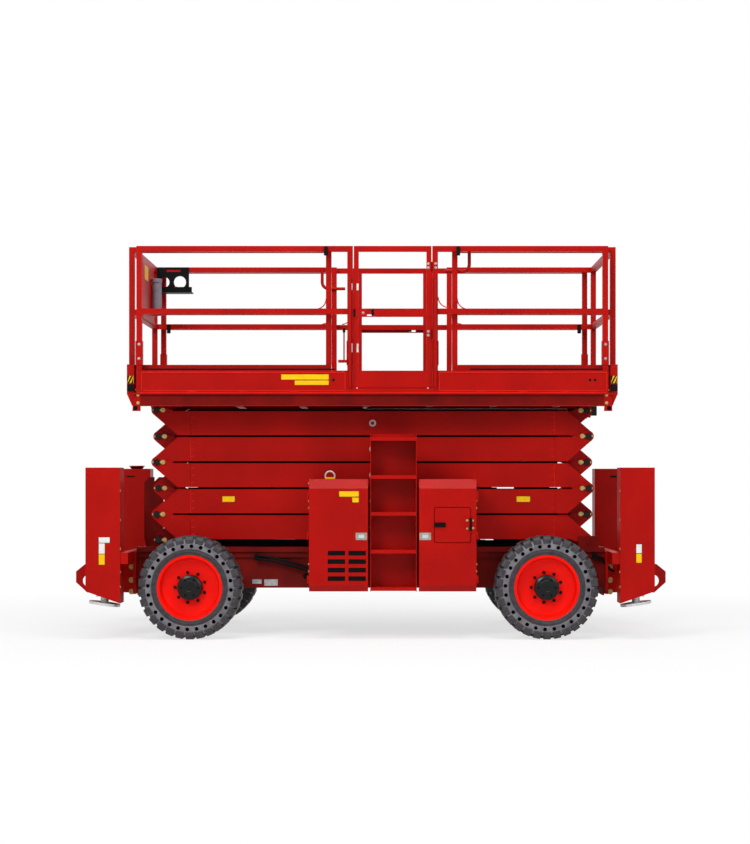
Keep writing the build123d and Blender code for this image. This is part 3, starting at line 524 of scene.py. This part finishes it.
def bolts(name, body, spots, radius, height, plating=None):
    """Heads at (x, y, z, direction) spots in mm, on one body."""
    shape = bpy.data.meshes.new(name)
    shape.from_pydata([(x / 1000, y / 1000, z / 1000) for x, y, z, aim in spots], [], [])
    aims = shape.attributes.new("aim", "FLOAT_VECTOR", "POINT")
    for k, spot in enumerate(spots):
        aims.data[k].vector = spot[3]
    thing = put(name, shape)
    heads = thing.modifiers.new("heads", "NODES")
    heads.node_group = bolt_tree
    heads[radius_socket.identifier] = radius / 1000
    heads[height_socket.identifier] = height / 1000
    heads[plating_socket.identifier] = plating or zinc_yellow
    bake(thing)
    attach(thing, body)
    return thing


def head_ring(wheel_x, side, face, circle, count, first=0.0):
    """Spots of heads on a circle about an axle, on the face at |Y| = face, in mm."""
    ring = []
    for k in range(count):
        angle = 2 * math.pi * (k + first) / count
        x = wheel_x + circle * math.cos(angle)
        z = axle_height + circle * math.sin(angle)
        ring.append((x, side * face, z, (0, side, 0)))
    return ring


for end, wheel_x in axles:
    for side_name, side in sides:
        wheel = f"{end}_{side_name}"
        ring = head_ring(wheel_x, side, 1066, 122, 9, 0.5)
        bolts(f"wheel_nuts_{wheel}", f"wheel_{wheel}", ring, 9, 16, machine_black)


# Hub caps: turned steel covers of the drive hubs, in gloss black, pressed over each hub's rim and held
# by a ring of small screws round the middle.
cap_profile = [
    (97.4, 1067), (101, 1067), (101, 1116), (97, 1126), (80, 1134), (60, 1135.5), (56, 1138), (34, 1139),
    (30, 1136), (14, 1136), (12, 1139.5), (0.5, 1140), (0.5, 1132.5), (82, 1132.5), (97.4, 1122.5),
]
for end, wheel_x in axles:
    for side_name, side in sides:
        made = bmesh.new()
        turned(made, cap_profile, 64, side)
        bmesh.ops.translate(made, vec=(wheel_x / 1000, 0, axle_height / 1000), verts=made.verts)
        wheel = f"{end}_{side_name}"
        collect(f"hub_cap_{wheel}", made, f"wheel_{wheel}", cylinder_gloss)
        ring = head_ring(wheel_x, side, 1134.6, 70, 6)
        bolts(f"hub_screws_{wheel}", f"wheel_{wheel}", ring, 6, 4.5, machine_black)

# Pin ends of the arm stack: black caps over hardened steel pins, each locked by a zinc-plated keeper strip
# with one bolt inboard of the pin.
left_pins = -1766.5
right_pins = 1796.5
lowest_pin = 779
level_rise = 215
levels = range(1, 6)
keeper_half_height = 8


def bar(made, x, y, z, edge=1.5):
    """A straight block between two corners in mm, with its edges just broken."""
    one = bmesh.ops.create_cube(made, size=1)["verts"]
    size = ((x[1] - x[0]) / 1000, (y[1] - y[0]) / 1000, (z[1] - z[0]) / 1000)
    middle = ((x[0] + x[1]) / 2000, (y[0] + y[1]) / 2000, (z[0] + z[1]) / 2000)
    bmesh.ops.scale(made, vec=size, verts=one)
    bmesh.ops.translate(made, vec=middle, verts=one)
    edges = list({e for v in one for e in v.link_edges})
    if edge:
        bmesh.ops.bevel(made, geom=edges, offset=edge / 1000, segments=2, affect="EDGES", clamp_overlap=True)


def rod(made, start, end, radius, end_radius=None, steps=24):
    """A round bar between two points in mm."""
    a = Vector(start) / 1000
    b = Vector(end) / 1000
    way = b - a
    turn = way.to_track_quat("Z", "Y").to_matrix().to_4x4()
    bmesh.ops.create_cone(
        made,
        cap_ends=True,
        segments=steps,
        radius1=radius / 1000,
        radius2=(end_radius or radius) / 1000,
        depth=way.length,
        matrix=Matrix.Translation((a + b) / 2) @ turn,
    )


def span(side, inner, outer):
    """The stretch between two distances |Y| on one side, with its lower end first."""
    return sorted((side * inner, side * outer))


pin_sets = [("chassis", left_pins, lowest_pin, 494, 1)]
for level in levels:
    height = lowest_pin + level_rise * level
    outer_x, inner_x = (left_pins, right_pins) if level % 2 else (right_pins, left_pins)
    pin_sets.append((f"outer_arm_{level}", outer_x, height, 622, 1 if outer_x < 0 else -1))
    pin_sets.append((f"inner_arm_{level}", inner_x, height, 486, 1 if inner_x < 0 else -1))
for body, x, z, line, inboard in pin_sets:
    caps = bmesh.new()
    keepers = bmesh.new()
    heads = []
    for side in (-1, 1):
        rod(caps, (x, side * (line + 0.2), z), (x, side * (line + 8), z), 28, 25.5)
        rod(caps, (x, side * (line + 8), z), (x, side * (line + 10), z), 12)
        length = sorted((x - inboard * 38, x + inboard * 62))
        height = (z - keeper_half_height, z + keeper_half_height)
        bar(keepers, length, span(side, line - 2.5, line + 2.2), height)
        heads.append((x + inboard * 52, side * (line + 2.2), z, (0, side, 0)))
    label = body if body != "chassis" else "clevis"
    collect(f"pin_caps_{label}", caps, body, cylinder_gloss)
    collect(f"pin_keepers_{label}", keepers, body, zinc_yellow)
    bolts(f"keeper_bolts_{label}", body, heads, 13, 10)

# Centre pins: the inner arms' pins show as pale machined steel rings, pressed into the outer arms' bosses
# halfway along each arm.
zinc_grey = coating(
    "zinc_grey", srgb(176, 178, 176), srgb(146, 149, 150), 0.44, metal=0.75, patch=26, relief=0.1
)
centre_line = 15
ring_profile = [(15, 604.5), (28.5, 604.5), (28.5, 608.5), (26.5, 610), (17, 610), (15, 608)]
for level in levels:
    made = bmesh.new()
    height = (lowest_pin + level_rise * (level - 0.5)) / 1000
    for side in (-1, 1):
        start = len(made.verts)
        turned(made, ring_profile, 40, side)
        made.verts.ensure_lookup_table()
        bmesh.ops.translate(made, vec=(centre_line / 1000, 0, height), verts=made.verts[start:])
    collect(f"centre_rings_{level}", made, f"inner_arm_{level}", zinc_grey)

# Arm beams: black strips between the levels, painted shade that fills the gaps where the inside of the stack
# lies in shadow, and weld seams in the lighter red of painted highlight where the end plates meet the beams.
# The strips sit on the inner beams, and one stretch above the second level is left open.
# A lighter copy of the body red: painted highlight on welds, beads, ledges, braces and tread lozenges, where
# edges catch the light.
lit_edge_paint = coating("lit_edge_paint", srgb(222, 30, 12), srgb(208, 24, 9), 0.38, coat=0.05, patch=6)
soft_black = coating("soft_black", srgb(14, 14, 15), srgb(9, 9, 10), 0.75, patch=14, relief=0.25)
seam_reach = 1503
strip_reach = 1540
open_stretch = (1050, 1245)
strip_ends = (centre_line - strip_reach, centre_line + strip_reach)
for level in levels:
    height = lowest_pin + level_rise * (level - 0.5)
    made = bmesh.new()
    stretches = [strip_ends]
    if level == 2:
        stretches = [(strip_ends[0], open_stretch[0]), (open_stretch[1], strip_ends[1])]
    for side in (-1, 1):
        for x in stretches:
            bar(made, x, span(side, 400, 452), (height + 98.8, height + 113), 1)
    collect(f"gap_shade_strips_{level}", made, f"inner_arm_{level}", soft_black)
    made = bmesh.new()
    for side in (-1, 1):
        for end in (-1, 1):
            x = centre_line + end * seam_reach
            face = side * 600.5
            rod(made, (x, face, height - 96), (x, face, height + 96), 3.2, steps=8)
            for z in (-62, -5, 55):
                rod(made, (x - end * 4, face, height + z), (x - end * 30, face, height + z + 7), 2.4, steps=8)
    collect(f"weld_seams_{level}", made, f"outer_arm_{level}", lit_edge_paint)

# Thin black plates along the tops of the side rails, in the gap under the lowest arms, with a low stretch on
# the right:
# painted shade where the inside of the machine lies in shadow.
made = bmesh.new()
for side in (-1, 1):
    for x, top in (((-1600, 951), 781), ((951, 1067), 748), ((1067, 1650), 781)):
        bar(made, x, span(side, 484, 489.6), (690, top), 0.8)
collect("gap_shade_plates", made, "chassis", soft_black)

# Platform ends: black and yellow striped plates on the side of each roll-out deck's end, a rubber buffer
# under them, and bolted steel hangers that hold the deck's rollers.
hazard_yellow = coating("hazard_yellow", srgb(242, 190, 20), srgb(228, 176, 16), 0.42, patch=12, relief=0.03)
stripe_pitch = 30


def slab(made, outline, y0, y1):
    """A flat plate with an (x, z) outline in mm, from y0 to y1."""
    close_plate(made, [[made.verts.new((x / 1000, y / 1000, z / 1000)) for x, z in outline] for y in (y0, y1)])


for body, way, outer in (("extension_left", -1, -1980), ("extension_right", 1, 2010)):
    buffers = bmesh.new()
    backing = bmesh.new()
    stripes = bmesh.new()
    for side in (-1, 1):
        edges = sorted((outer - way * 3, outer - way * 57))
        bar(backing, edges, span(side, 872.3, 873.8), (2064, 2124), 0.5)
        for k in range(3):
            a = edges[0] - 12 + k * stripe_pitch
            cut = [(a, 2065), (a + 15, 2065), (a + 45, 2123), (a + 30, 2123)]
            cut = [(min(max(px, edges[0] + 1), edges[1] - 1), pz) for px, pz in cut]
            if cut[1][0] - cut[0][0] + cut[2][0] - cut[3][0] > 4:
                slab(stripes, cut, side * 873.8, side * 874.3)
        bar(buffers, edges, span(side, 872.6, 888), (2000, 2056), 4)
    name = body.split("_")[1]
    collect(f"stripe_backing_{name}", backing, body, soft_black)
    collect(f"stripes_{name}", stripes, body, hazard_yellow)
    collect(f"end_buffers_{name}", buffers, body, soft_black)

hanger_face = 892.2
spots = []
pivots = []
for x_outer, way in ((-1867, -1), (1897, 1)):
    for side in (-1, 1):
        for z in (1967, 1903):
            spots.append((x_outer + way * 20, side * hanger_face, z, (0, side, 0)))
        pivots.append((x_outer + way * 41, side * hanger_face, 1861, (0, side, 0)))
bolts("hanger_bolts", "platform", spots, 9, 8)
bolts("hanger_pivots", "platform", pivots, 13, 4, machine_black)

# Deck plates: steel tread plate, painted with the rest and welded into the decks' frames. Its raised
# lozenges are rolled in two directions, row by row, and are drawn in a lighter red, a painted highlight on
# their tops.
tread_pitch = 62
roll_out_floor = 2040.4
main_floor = 2018


def lozenges(made, x_range, y_range, floor):
    """Raised lozenges in rows, every other one turned the other way."""
    columns = int((x_range[1] - x_range[0]) / tread_pitch)
    rows = int((y_range[1] - y_range[0]) / tread_pitch)
    for column in range(columns):
        for row in range(rows):
            x = x_range[0] + tread_pitch * (column + 0.5)
            y = y_range[0] + tread_pitch * (row + 0.5)
            lean = math.radians(45 if (column + row) % 2 else -45)
            rings = []
            for length, width, height in ((18, 6.5, -0.2), (13, 4, 1.7)):
                ring = []
                for along, aside in ((length, 0), (0, width), (-length, 0), (0, -width)):
                    px = x + along * math.cos(lean) - aside * math.sin(lean)
                    py = y + along * math.sin(lean) + aside * math.cos(lean)
                    ring.append(made.verts.new((px / 1000, py / 1000, (floor + height) / 1000)))
                rings.append(ring)
            close_plate(made, rings)


for name, body, x_range, half, floor in (
    ("left", "extension_left", (-1952, -335), 762, roll_out_floor),
    ("right", "extension_right", (685, 1982), 762, roll_out_floor),
    ("main", "platform", (-310, 660), 800, main_floor),
):
    made = bmesh.new()
    lozenges(made, x_range, (-half, half), floor)
    collect(f"deck_tread_{name}", made, body, lit_edge_paint)

# Toe board plates: blank instruction plates of printed plastic with a thin dark edge, stuck on the painted
# steel, and three rubber plugs in its unused holes.
sign_yellow = coating("sign_yellow", srgb(246, 196, 22), srgb(238, 186, 18), 0.38, patch=30, relief=0.02)
sign_white = coating("sign_white", srgb(232, 232, 228), srgb(222, 222, 218), 0.4, patch=30, relief=0.02)


def plates(name, body, finish, boxes, line, side=-1):
    """Thin blank plates, stuck flat on a side face at |Y| = line, each with a rim of its edge showing."""
    rim = 2.5
    edge = bmesh.new()
    front = bmesh.new()
    for x0, x1, z0, z1 in boxes:
        bar(edge, (x0, x1), span(side, line + 0.1, line + 0.8), (z0, z1), 0.3)
        inside = ((x0 + rim, x1 - rim), (z0 + rim, z1 - rim))
        bar(front, inside[0], span(side, line + 0.8, line + 1.2), inside[1], 0)
    collect(f"{name}_edge", edge, body, soft_black)
    collect(name, front, body, finish)


toe_board_face = 911
for side_name, side in sides:
    boxes = [(-725, -336, 2089, 2136), (-616, -336, 2046, 2087)]
    plates(f"toe_board_plates_{side_name}", "platform", sign_yellow, boxes, toe_board_face, side)
spots = [(x, side * 911.2, 2088, (0, side, 0)) for x in (-299, 1781, 1822) for side in (-1, 1)]
bolts("toe_board_plugs", "platform", spots, 8, 3, soft_black)

# Toe boards: folded steel with a border pressed round each panel and short welds under it, in the lighter red
# of painted highlight, and a black strip in the slot along the top, painted shade in the slot. The main beam
# below has a ledge, lighter red for painted highlight, and its web lies a little deeper, faced with a plate in
# the darker red of painted shade.
panels = (("left", (-1855, -205), (-1831, -287)), ("right", (560, 1917), (809, 1882)))
for name, (x0, x1), slot_run in panels:
    border = bmesh.new()
    slot_shades = bmesh.new()
    for side in (-1, 1):
        face = side * (toe_board_face + 0.5)
        corners = [(x0, 2003), (x1, 2003), (x1, 2150), (x0, 2150)]
        for k in range(4):
            a, b = corners[k], corners[(k + 1) % 4]
            rod(border, (a[0], face, a[1]), (b[0], face, b[1]), 4.2, steps=8)
        for share_along in (0.25, 0.5, 0.75):
            tab = x0 + (x1 - x0) * share_along
            bar(border, (tab - 34, tab + 34), span(side, toe_board_face, 916), (1992, 2001), 2)
        # A black strip in the slot along the top: painted shade in the slot.
        bar(slot_shades, slot_run, span(side, 910.8, 912), (2168, 2181), 0.4)
    collect(f"toe_board_border_{name}", border, "platform", lit_edge_paint)
    collect(f"toe_board_slot_shade_{name}", slot_shades, "platform", soft_black)
ledges = bmesh.new()
web_shades = bmesh.new()
for side in (-1, 1):
    bar(ledges, (-1888, 1918), span(side, toe_board_face, 917), (1981, 1988), 1)
    # A plate on the beam's web in the darker red: painted shade under the ledge.
    bar(web_shades, (-1866, 1896), span(side, 891.2, 892.4), (1884, 1976), 0.4)
collect("beam_ledges", ledges, "platform", lit_edge_paint)
collect("beam_web_shade", web_shades, "platform", shaded_frame_paint)

# Gates: each has a wide flat mid bar of steel, welded on, with a window for its black spring latch, and hangs
# on two hinges screwed to the post. The far side is the near side turned half round.
turned_x = 360
hinge_screw_heights = (2452, 2483, 3001, 3033)


def across(side, x):
    """A place along the machine, turned half round for the far side."""
    return x if side < 0 else turned_x - x


def stretch(side, x0, x1):
    """A stretch along the machine, turned half round for the far side, with its lower end first."""
    return sorted((across(side, x0), across(side, x1)))


for side_name, side in sides:
    made = bmesh.new()
    y = span(side, 894.5, 899)
    window = stretch(side, -28, 30)
    bar(made, (-135, window[0]), y, (2600, 2669))
    bar(made, (window[1], 495), y, (2600, 2669))
    bar(made, window, y, (2600, 2608), 0.5)
    bar(made, window, y, (2660, 2669), 0.5)
    collect(f"gate_bar_{side_name}", made, f"gate_{side_name}", body_red)
    made = bmesh.new()
    bar(made, stretch(side, 8, 30), span(side, 893, 898), (2609, 2659), 2)
    collect(f"gate_latch_{side_name}", made, f"gate_{side_name}", machine_black)
    spots = [(across(side, 469), side * 895, z, (0, side, 0)) for z in hinge_screw_heights]
    spots.append((across(side, -60), side * 899, 2634, (0, side, 0)))
    bolts(f"gate_screws_{side_name}", f"gate_{side_name}", spots, 7.5, 6, zinc_grey)
spots = []
for side in (-1, 1):
    for z in hinge_screw_heights:
        spots.append((across(side, 530), side * 897.5, z, (0, side, 0)))
bolts("post_hinge_screws", "platform", spots, 7.5, 6, zinc_grey)

# Grab handles on the roll-out decks: round tube bent to a J, welded under the top rail and across the post.
# Thin bent rods brace the mid rails at the posts, in the lighter red of painted highlight, and black hooks are
# screwed on the rails.
deck_rail = 790


def pipe(made, points, radius, steps=3):
    """A bent round bar along points in mm, closed at both ends."""
    bend = bpy.data.curves.new("bend", "CURVE")
    bend.dimensions = "3D"
    bend.bevel_depth = radius / 1000
    bend.bevel_resolution = steps
    bend.use_fill_caps = True
    line = bend.splines.new("POLY")
    line.points.add(len(points) - 1)
    for k, point in enumerate(points):
        line.points[k].co = (point[0] / 1000, point[1] / 1000, point[2] / 1000, 1)
    thing = put("bend", bend)
    shape = bpy.data.meshes.new_from_object(thing.evaluated_get(bpy.context.evaluated_depsgraph_get()))
    made.from_mesh(shape)
    bpy.data.objects.remove(thing)


def elbow(x, z, radius, first, last, steps=10):
    """Points (x, z) of an arc about a middle, from one angle to another in degrees."""
    turns = [math.radians(first + (last - first) * k / steps) for k in range(steps + 1)]
    return [(x + radius * math.cos(turn), z + radius * math.sin(turn)) for turn in turns]


for name, side in (("left", 1), ("right", -1)):
    body = f"extension_{name}"
    route = [(-448, 3165)] + elbow(-390, 3042, 58, 180, 270) + [(-242, 2984)]
    made = bmesh.new()
    pipe(made, [(across(-side, x), side * 753, z) for x, z in route], 14, 4)
    collect(f"grab_handle_{name}", made, body, body_red)
    braces = bmesh.new()
    post, way = (-362, -1) if name == "left" else (708, 1)
    for brace_side in (-1, 1):
        bow = elbow(post + way * 88, 2760, 88, 180 if way > 0 else 0, 270 if way > 0 else -90)
        pipe(braces, [(x, brace_side * deck_rail, z) for x, z in bow], 5)
    collect(f"mid_rail_braces_{name}", braces, body, lit_edge_paint)
    hooks = bmesh.new()
    middle = -1820 if name == "left" else 1849
    bar(hooks, (middle - 17, middle + 17), (759.5, 767.2), (2585, 2664), 4)
    bar(hooks, (middle - 9, middle + 9), (748, 760), (2585, 2600), 3)
    collect(f"mid_rail_hook_{name}", hooks, body, soft_black)
made = bmesh.new()
for x in (-361, 712):
    bar(made, (x - 16, x + 16), (-921, -915.3), (3096, 3170), 3)
    bar(made, (x - 8, x + 10), (-934, -918), (3096, 3110), 3)
collect("top_rail_hooks", made, "platform", soft_black)
# Bent rods brace the main rails at the posts, also in the lighter red of painted highlight.
made = bmesh.new()
for side in (-1, 1):
    bow = elbow(634, 2762, 84, 180, 270)
    pipe(made, [(across(side, x), side * 893, z) for x, z in bow], 5)
collect("main_rail_braces", made, "platform", lit_edge_paint)

# Deck locks: a red steel pedal clamped on the post beside the gate, with a lift rod and a black rubber grip.
# Beside it, zinc-plated strips on the post and the gate meet at a black striker.
lock_rod_out = 913
for name, side in sides:
    made = bmesh.new()
    grips = bmesh.new()
    rod_x = across(side, -214)
    bar(made, stretch(side, -262, -192), span(side, 905, 919), (2228, 2252), 3)
    rod(made, (rod_x, side * lock_rod_out, 2250), (rod_x, side * lock_rod_out, 2474), 6)
    rod(grips, (rod_x, side * lock_rod_out, 2474), (rod_x, side * lock_rod_out, 2508), 12, 10)
    collect(f"deck_lock_{name}", made, "platform", body_red)
    collect(f"deck_lock_grip_{name}", grips, "platform", soft_black)
    post_plates = bmesh.new()
    made = bmesh.new()
    for low, high in ((2816, 2872), (2314, 2384)):
        bar(post_plates, stretch(side, -160, -145), span(side, 915.2, 917.4), (low, high), 1)
        bar(made, stretch(side, -112, -96), span(side, 895.2, 898), (low, high), 1)
    collect(f"gate_plates_{name}", made, f"gate_{name}", pale_zinc)
    collect(f"post_plates_{name}", post_plates, "platform", pale_zinc)
    made = bmesh.new()
    bar(made, stretch(side, -138, -118), span(side, 895.2, 901), (2600, 2668), 3)
    collect(f"gate_striker_{name}", made, f"gate_{name}", soft_black)

# Rail posts: each stands in a welded steel sleeve on the platform, where the rails come apart for transport.
# Two zinc-plated pins lock each sleeve.
spots = []
for x in (-1877.5, -165.5, 525.5, 1907.5):
    for side in (-1, 1):
        for z in (2262, 2378):
            spots.append((x, side * 903.5, z, (0, side, 0)))
bolts("sleeve_pins", "platform", spots, 8, 9, zinc_grey)

# Outrigger housings: folded sheet steel with a raised edge strip held by screws, blank notice plates and a
# beacon on the far left one. Large bolts hold the tie-down plates to the end beams.
housing_face = 1130
for way, name in ((-1, "left"), (1, "right")):
    made = bmesh.new()
    spots = []
    big = []
    for side in (-1, 1):
        outline = [(way * 2010, 1375), (way * 2036, 1375), (way * 2036, 307), (way * 2010, 297)]
        slab(made, outline, *span(side, 1129.5, 1132))
        for z in (421, 541, 725, 957, 1189):
            spots.append((way * 2001, side * 1116, z, (-way, 0, 0)))
        for z in (353, 450, 559):
            big.append((way * 1980, side * 573, z, (0, side, 0)))
    collect(f"housing_edges_{name}", made, "chassis", body_red)
    bolts(f"housing_screws_{name}", "chassis", spots, 8, 6)
    bolts(f"tie_down_bolts_{name}", "chassis", big, 16, 12)
plates("left_notice", "chassis", sign_white, [(-2173, -2081, 773, 821), (-2173, -2121, 685, 773)], housing_face)
plates("left_warning", "chassis", sign_yellow, [(-2173, -2121, 597, 685)], housing_face)
plates("right_notice", "chassis", sign_white, [(2127, 2175, 690, 765)], housing_face)
plates("right_warning", "chassis", sign_yellow, [(2127, 2175, 613, 690)], housing_face)
plates("frame_plates", "chassis", zinc_grey, [(-982, -900, 417, 458), (-883, -767, 400, 458)], 590)
made = bmesh.new()
turned(made, [(0.5, 0), (60, 0), (62, 8), (50, 20), (0.5, 20)], 40)
bmesh.ops.rotate(made, matrix=Matrix.Rotation(math.radians(-90), 3, "X"), verts=made.verts)
bmesh.ops.translate(made, vec=(-2.135, 1.01, 1.3972), verts=made.verts)
collect("beacon_base", made, "chassis", soft_black)
made = bmesh.new()
rod(made, (-2135, 1010, 1397.4), (-2135, 1010, 1405), 74, 70, 40)
collect("beacon_top", made, "chassis", body_red)

# Hydraulic pipes: black steel tube from the side rail to the left module, and from the right end plate up
# to its housing, in clips bolted to the frame. A black stepped disc is painted shade in a hole in the rail, and
# a black strip on each housing is painted shade in its slot.
pipe_line = -642
made = bmesh.new()
for drop in (0, 26):
    route = [(-930, 652), (-880, 646), (-820, 636), (-740, 618), (-660, 597), (-580, 574), (-500, 550)]
    pipe(made, [(x, pipe_line, z - drop) for x, z in route], 11)
route = [(1850, 655), (1885, 642), (1915, 612), (1945, 572), (1975, 540), (2010, 524)]
pipe(made, [(x, pipe_line, z) for x, z in route], 12)
bar(made, (-960, -925), (-658, -629), (612, 664), 4)
bar(made, (1826, 1856), (-658, -560), (630, 680), 4)
collect("hydraulic_pipes", made, "chassis", machine_black)
# A black stepped disc over the hole in the rail: painted shade inside the hole.
made = bmesh.new()
rod(made, (-536, -590.2, 482), (-536, -593, 482), 24)
rod(made, (-536, -593, 482), (-536, -596, 482), 15)
collect("frame_hole_shade", made, "chassis", machine_black)
# A black strip on each housing: painted shade in its slot.
made = bmesh.new()
for way in (-1, 1):
    for side in (-1, 1):
        bar(made, sorted((way * 2139, way * 2215)), span(side, 898.6, 899.8), (1300, 1314), 0.4)
collect("housing_slot_shade", made, "chassis", soft_black)

# Arm plates: two small blank warning plates of yellow plastic, stuck on the near side of the lowest outer
# arm, one towards each end.
plates("arm_plate_left", "outer_arm_1", sign_yellow, [(-1229, -1122, 1094, 1144)], 600)
plates("arm_plate_right", "outer_arm_1", sign_yellow, [(1202, 1318, 1094, 1144)], 600)

# Module covers: folded sheet steel, each shut by a plated paddle latch on a screwed plate. The near left one
# also has a steel lifting eye on a yellow base, and two blank plastic plates.
for name, x0, x1 in (("left", -115, -25), ("right", 395, 487)):
    for side_name, side in sides:
        body = f"module_cover_{name}_{side_name}"
        backing = bmesh.new()
        paddles = bmesh.new()
        bar(backing, (x0, x1), span(side, 1130.1, 1133), (797, 855), 1)
        bar(paddles, (x0 + 18, x1 - 18), span(side, 1133, 1137), (808, 844), 2)
        spots = [(x, side * 1133, z, (0, side, 0)) for x in (x0 + 8, x1 - 8) for z in (806, 846)]
        collect(f"latch_plates_{name}_{side_name}", backing, body, zinc_grey)
        collect(f"latch_paddles_{name}_{side_name}", paddles, body, bright_chrome)
        bolts(f"latch_screws_{name}_{side_name}", body, spots, 5.5, 4)
boxes = [(-249, -89, 1142, 1189), (-145, -89, 1096, 1140)]
plates("cover_plates", "module_cover_left_near", sign_yellow, boxes, housing_face)
made = bmesh.new()
pipe(made, [(x, -1000, z) for x, z in elbow(-325, 1309, 38, -30, 210, 24)], 7, 4)
collect("lifting_eye", made, "module_cover_left_near", zinc_grey)
made = bmesh.new()
bar(made, (-366, -284), (-1020, -980), (1284.1, 1299), 3)
collect("lifting_eye_base", made, "module_cover_left_near", hazard_yellow)

# Control door: sheet steel in the near right cover, shut by a black paddle latch. A black moulded cover
# hides its hinge, between two plated bolts on the door and two on the module cover.
door_face = -1130.2
bolt_heights = (891, 954)
made = bmesh.new()
bar(made, (512, 606), (-1143.5, -1136), (901, 937), 3)
collect("door_latch", made, "control_door", machine_black)
made = bmesh.new()
bar(made, (795, 814), (-1144.9, -1136), (868, 975), 3)
collect("door_hinge_cover", made, "control_door", machine_black)
for name, body, x in (("door_bolts", "control_door", 776), ("hinge_bolts", "module_cover_right_near", 824)):
    bolts(name, body, [(x, door_face, z, (0, -1, 0)) for z in bolt_heights], 7, 6)

# Cover fixings: plated bolts go through the hinge leaves on each cover's outer edge, and a short painted
# steel pin on top keeps the open cover from dropping back.
hinge_leaf_bolts = (1111, 1053, 603, 546)
for name, wall, way, pin, heights in (
    ("left", -490.2, -1, -465, (1250,) + hinge_leaf_bolts),
    ("right", 851.2, 1, 835, hinge_leaf_bolts),
):
    for side_name, side in sides:
        body = f"module_cover_{name}_{side_name}"
        spots = [(wall, side * 1108, z, (way, 0, 0)) for z in heights]
        bolts(f"cover_edge_bolts_{name}_{side_name}", body, spots, 7, 7)
        made = bmesh.new()
        rod(made, (pin, side * 1072, 1276), (pin, side * 1072, 1328), 4, 3.5, 12)
        collect(f"stay_pin_{name}_{side_name}", made, body, body_red)

# Vent screens: black sheet with pressed ribs, spot-welded behind the slots of the left covers, where the
# engine's cooling air goes out.
rib_pitch = 10
for side_name, side in sides:
    made = bmesh.new()
    bar(made, (-352, -22), span(side, 1118, 1121), (455, 720), 0.5)
    for k in range(26):
        z = 460 + k * rib_pitch
        bar(made, (-350, -24), span(side, 1121, 1122.6), (z, z + 4), 0)
    collect(f"vent_screen_{side_name}", made, f"module_cover_left_{side_name}", machine_black)

# Ladders: welded from folded sheet steel between the modules. Each tread has three rows of raised grip
# buttons, pressed through the sheet.
tread_tops = (417, 717, 1020, 1315, 1620)
button_rows = (1098, 1060, 1020)
for side_name, side in sides:
    spots = []
    for z in tread_tops:
        for k in range(9):
            for row in button_rows:
                spots.append((27 + k * 40, side * row, z, (0, 0, 1)))
    bolts(f"tread_buttons_{side_name}", "chassis", spots, 7, 3, body_red)

# Document tube: grey plastic pipe with screwed caps, clipped to a painted sheet bracket that is bolted on
# the left end rail, with a blank yellow plate beside it.
tube_plastic = coating("tube_plastic", srgb(142, 144, 154), srgb(124, 126, 136), 0.38, patch=8)
tube_profile = [
    (0.5, 0), (44, 0), (45, 4), (45, 34), (41, 36), (41, 284), (45, 286), (45, 316), (44, 320), (0.5, 320),
]
made = bmesh.new()
bar(made, (-1924.7, -1918.7), (-300, 500), (2639, 3157), 1)
bar(made, (-1920, -1912), (283, 317), (2740, 2980), 1)
tube_bracket = collect("tube_bracket", made, "extension_left", body_red)
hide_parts("document_tube")
made = bmesh.new()
turned(made, tube_profile, 40)
bmesh.ops.rotate(made, matrix=Matrix.Rotation(math.radians(90), 3, "X"), verts=made.verts)
bmesh.ops.translate(made, vec=(-1.872, 0.3, 2.7072), verts=made.verts)
manual_tube = collect("manual_tube", made, "extension_left", tube_plastic)
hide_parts("document_tube")
made = bmesh.new()
bar(made, (-1918.6, -1917.6), (-180, 60), (2980, 3100), 0.3)
collect("bracket_plate", made, "extension_left", sign_yellow)

# Platform control box: moulded in black plastic, hooked in the holder's tray on the rail. A joystick and a
# red stop knob stand on its lid.
box_top = 2980
box_middle = 690
made = bmesh.new()
bar(made, (-1850, -1730), (640, 740), (2946, box_top), 8)
rod(made, (-1790, box_middle, box_top), (-1790, box_middle, 3030), 8, 6)
rod(made, (-1790, box_middle, 3030), (-1790, box_middle, 3046), 13, 11)
collect("control_box", made, "extension_left", machine_black)
made = bmesh.new()
rod(made, (-1750, box_middle, box_top), (-1750, box_middle, 2988), 8)
rod(made, (-1750, box_middle, 2988), (-1750, box_middle, 2997), 14, 12)
collect("stop_knob", made, "extension_left", bright_red)
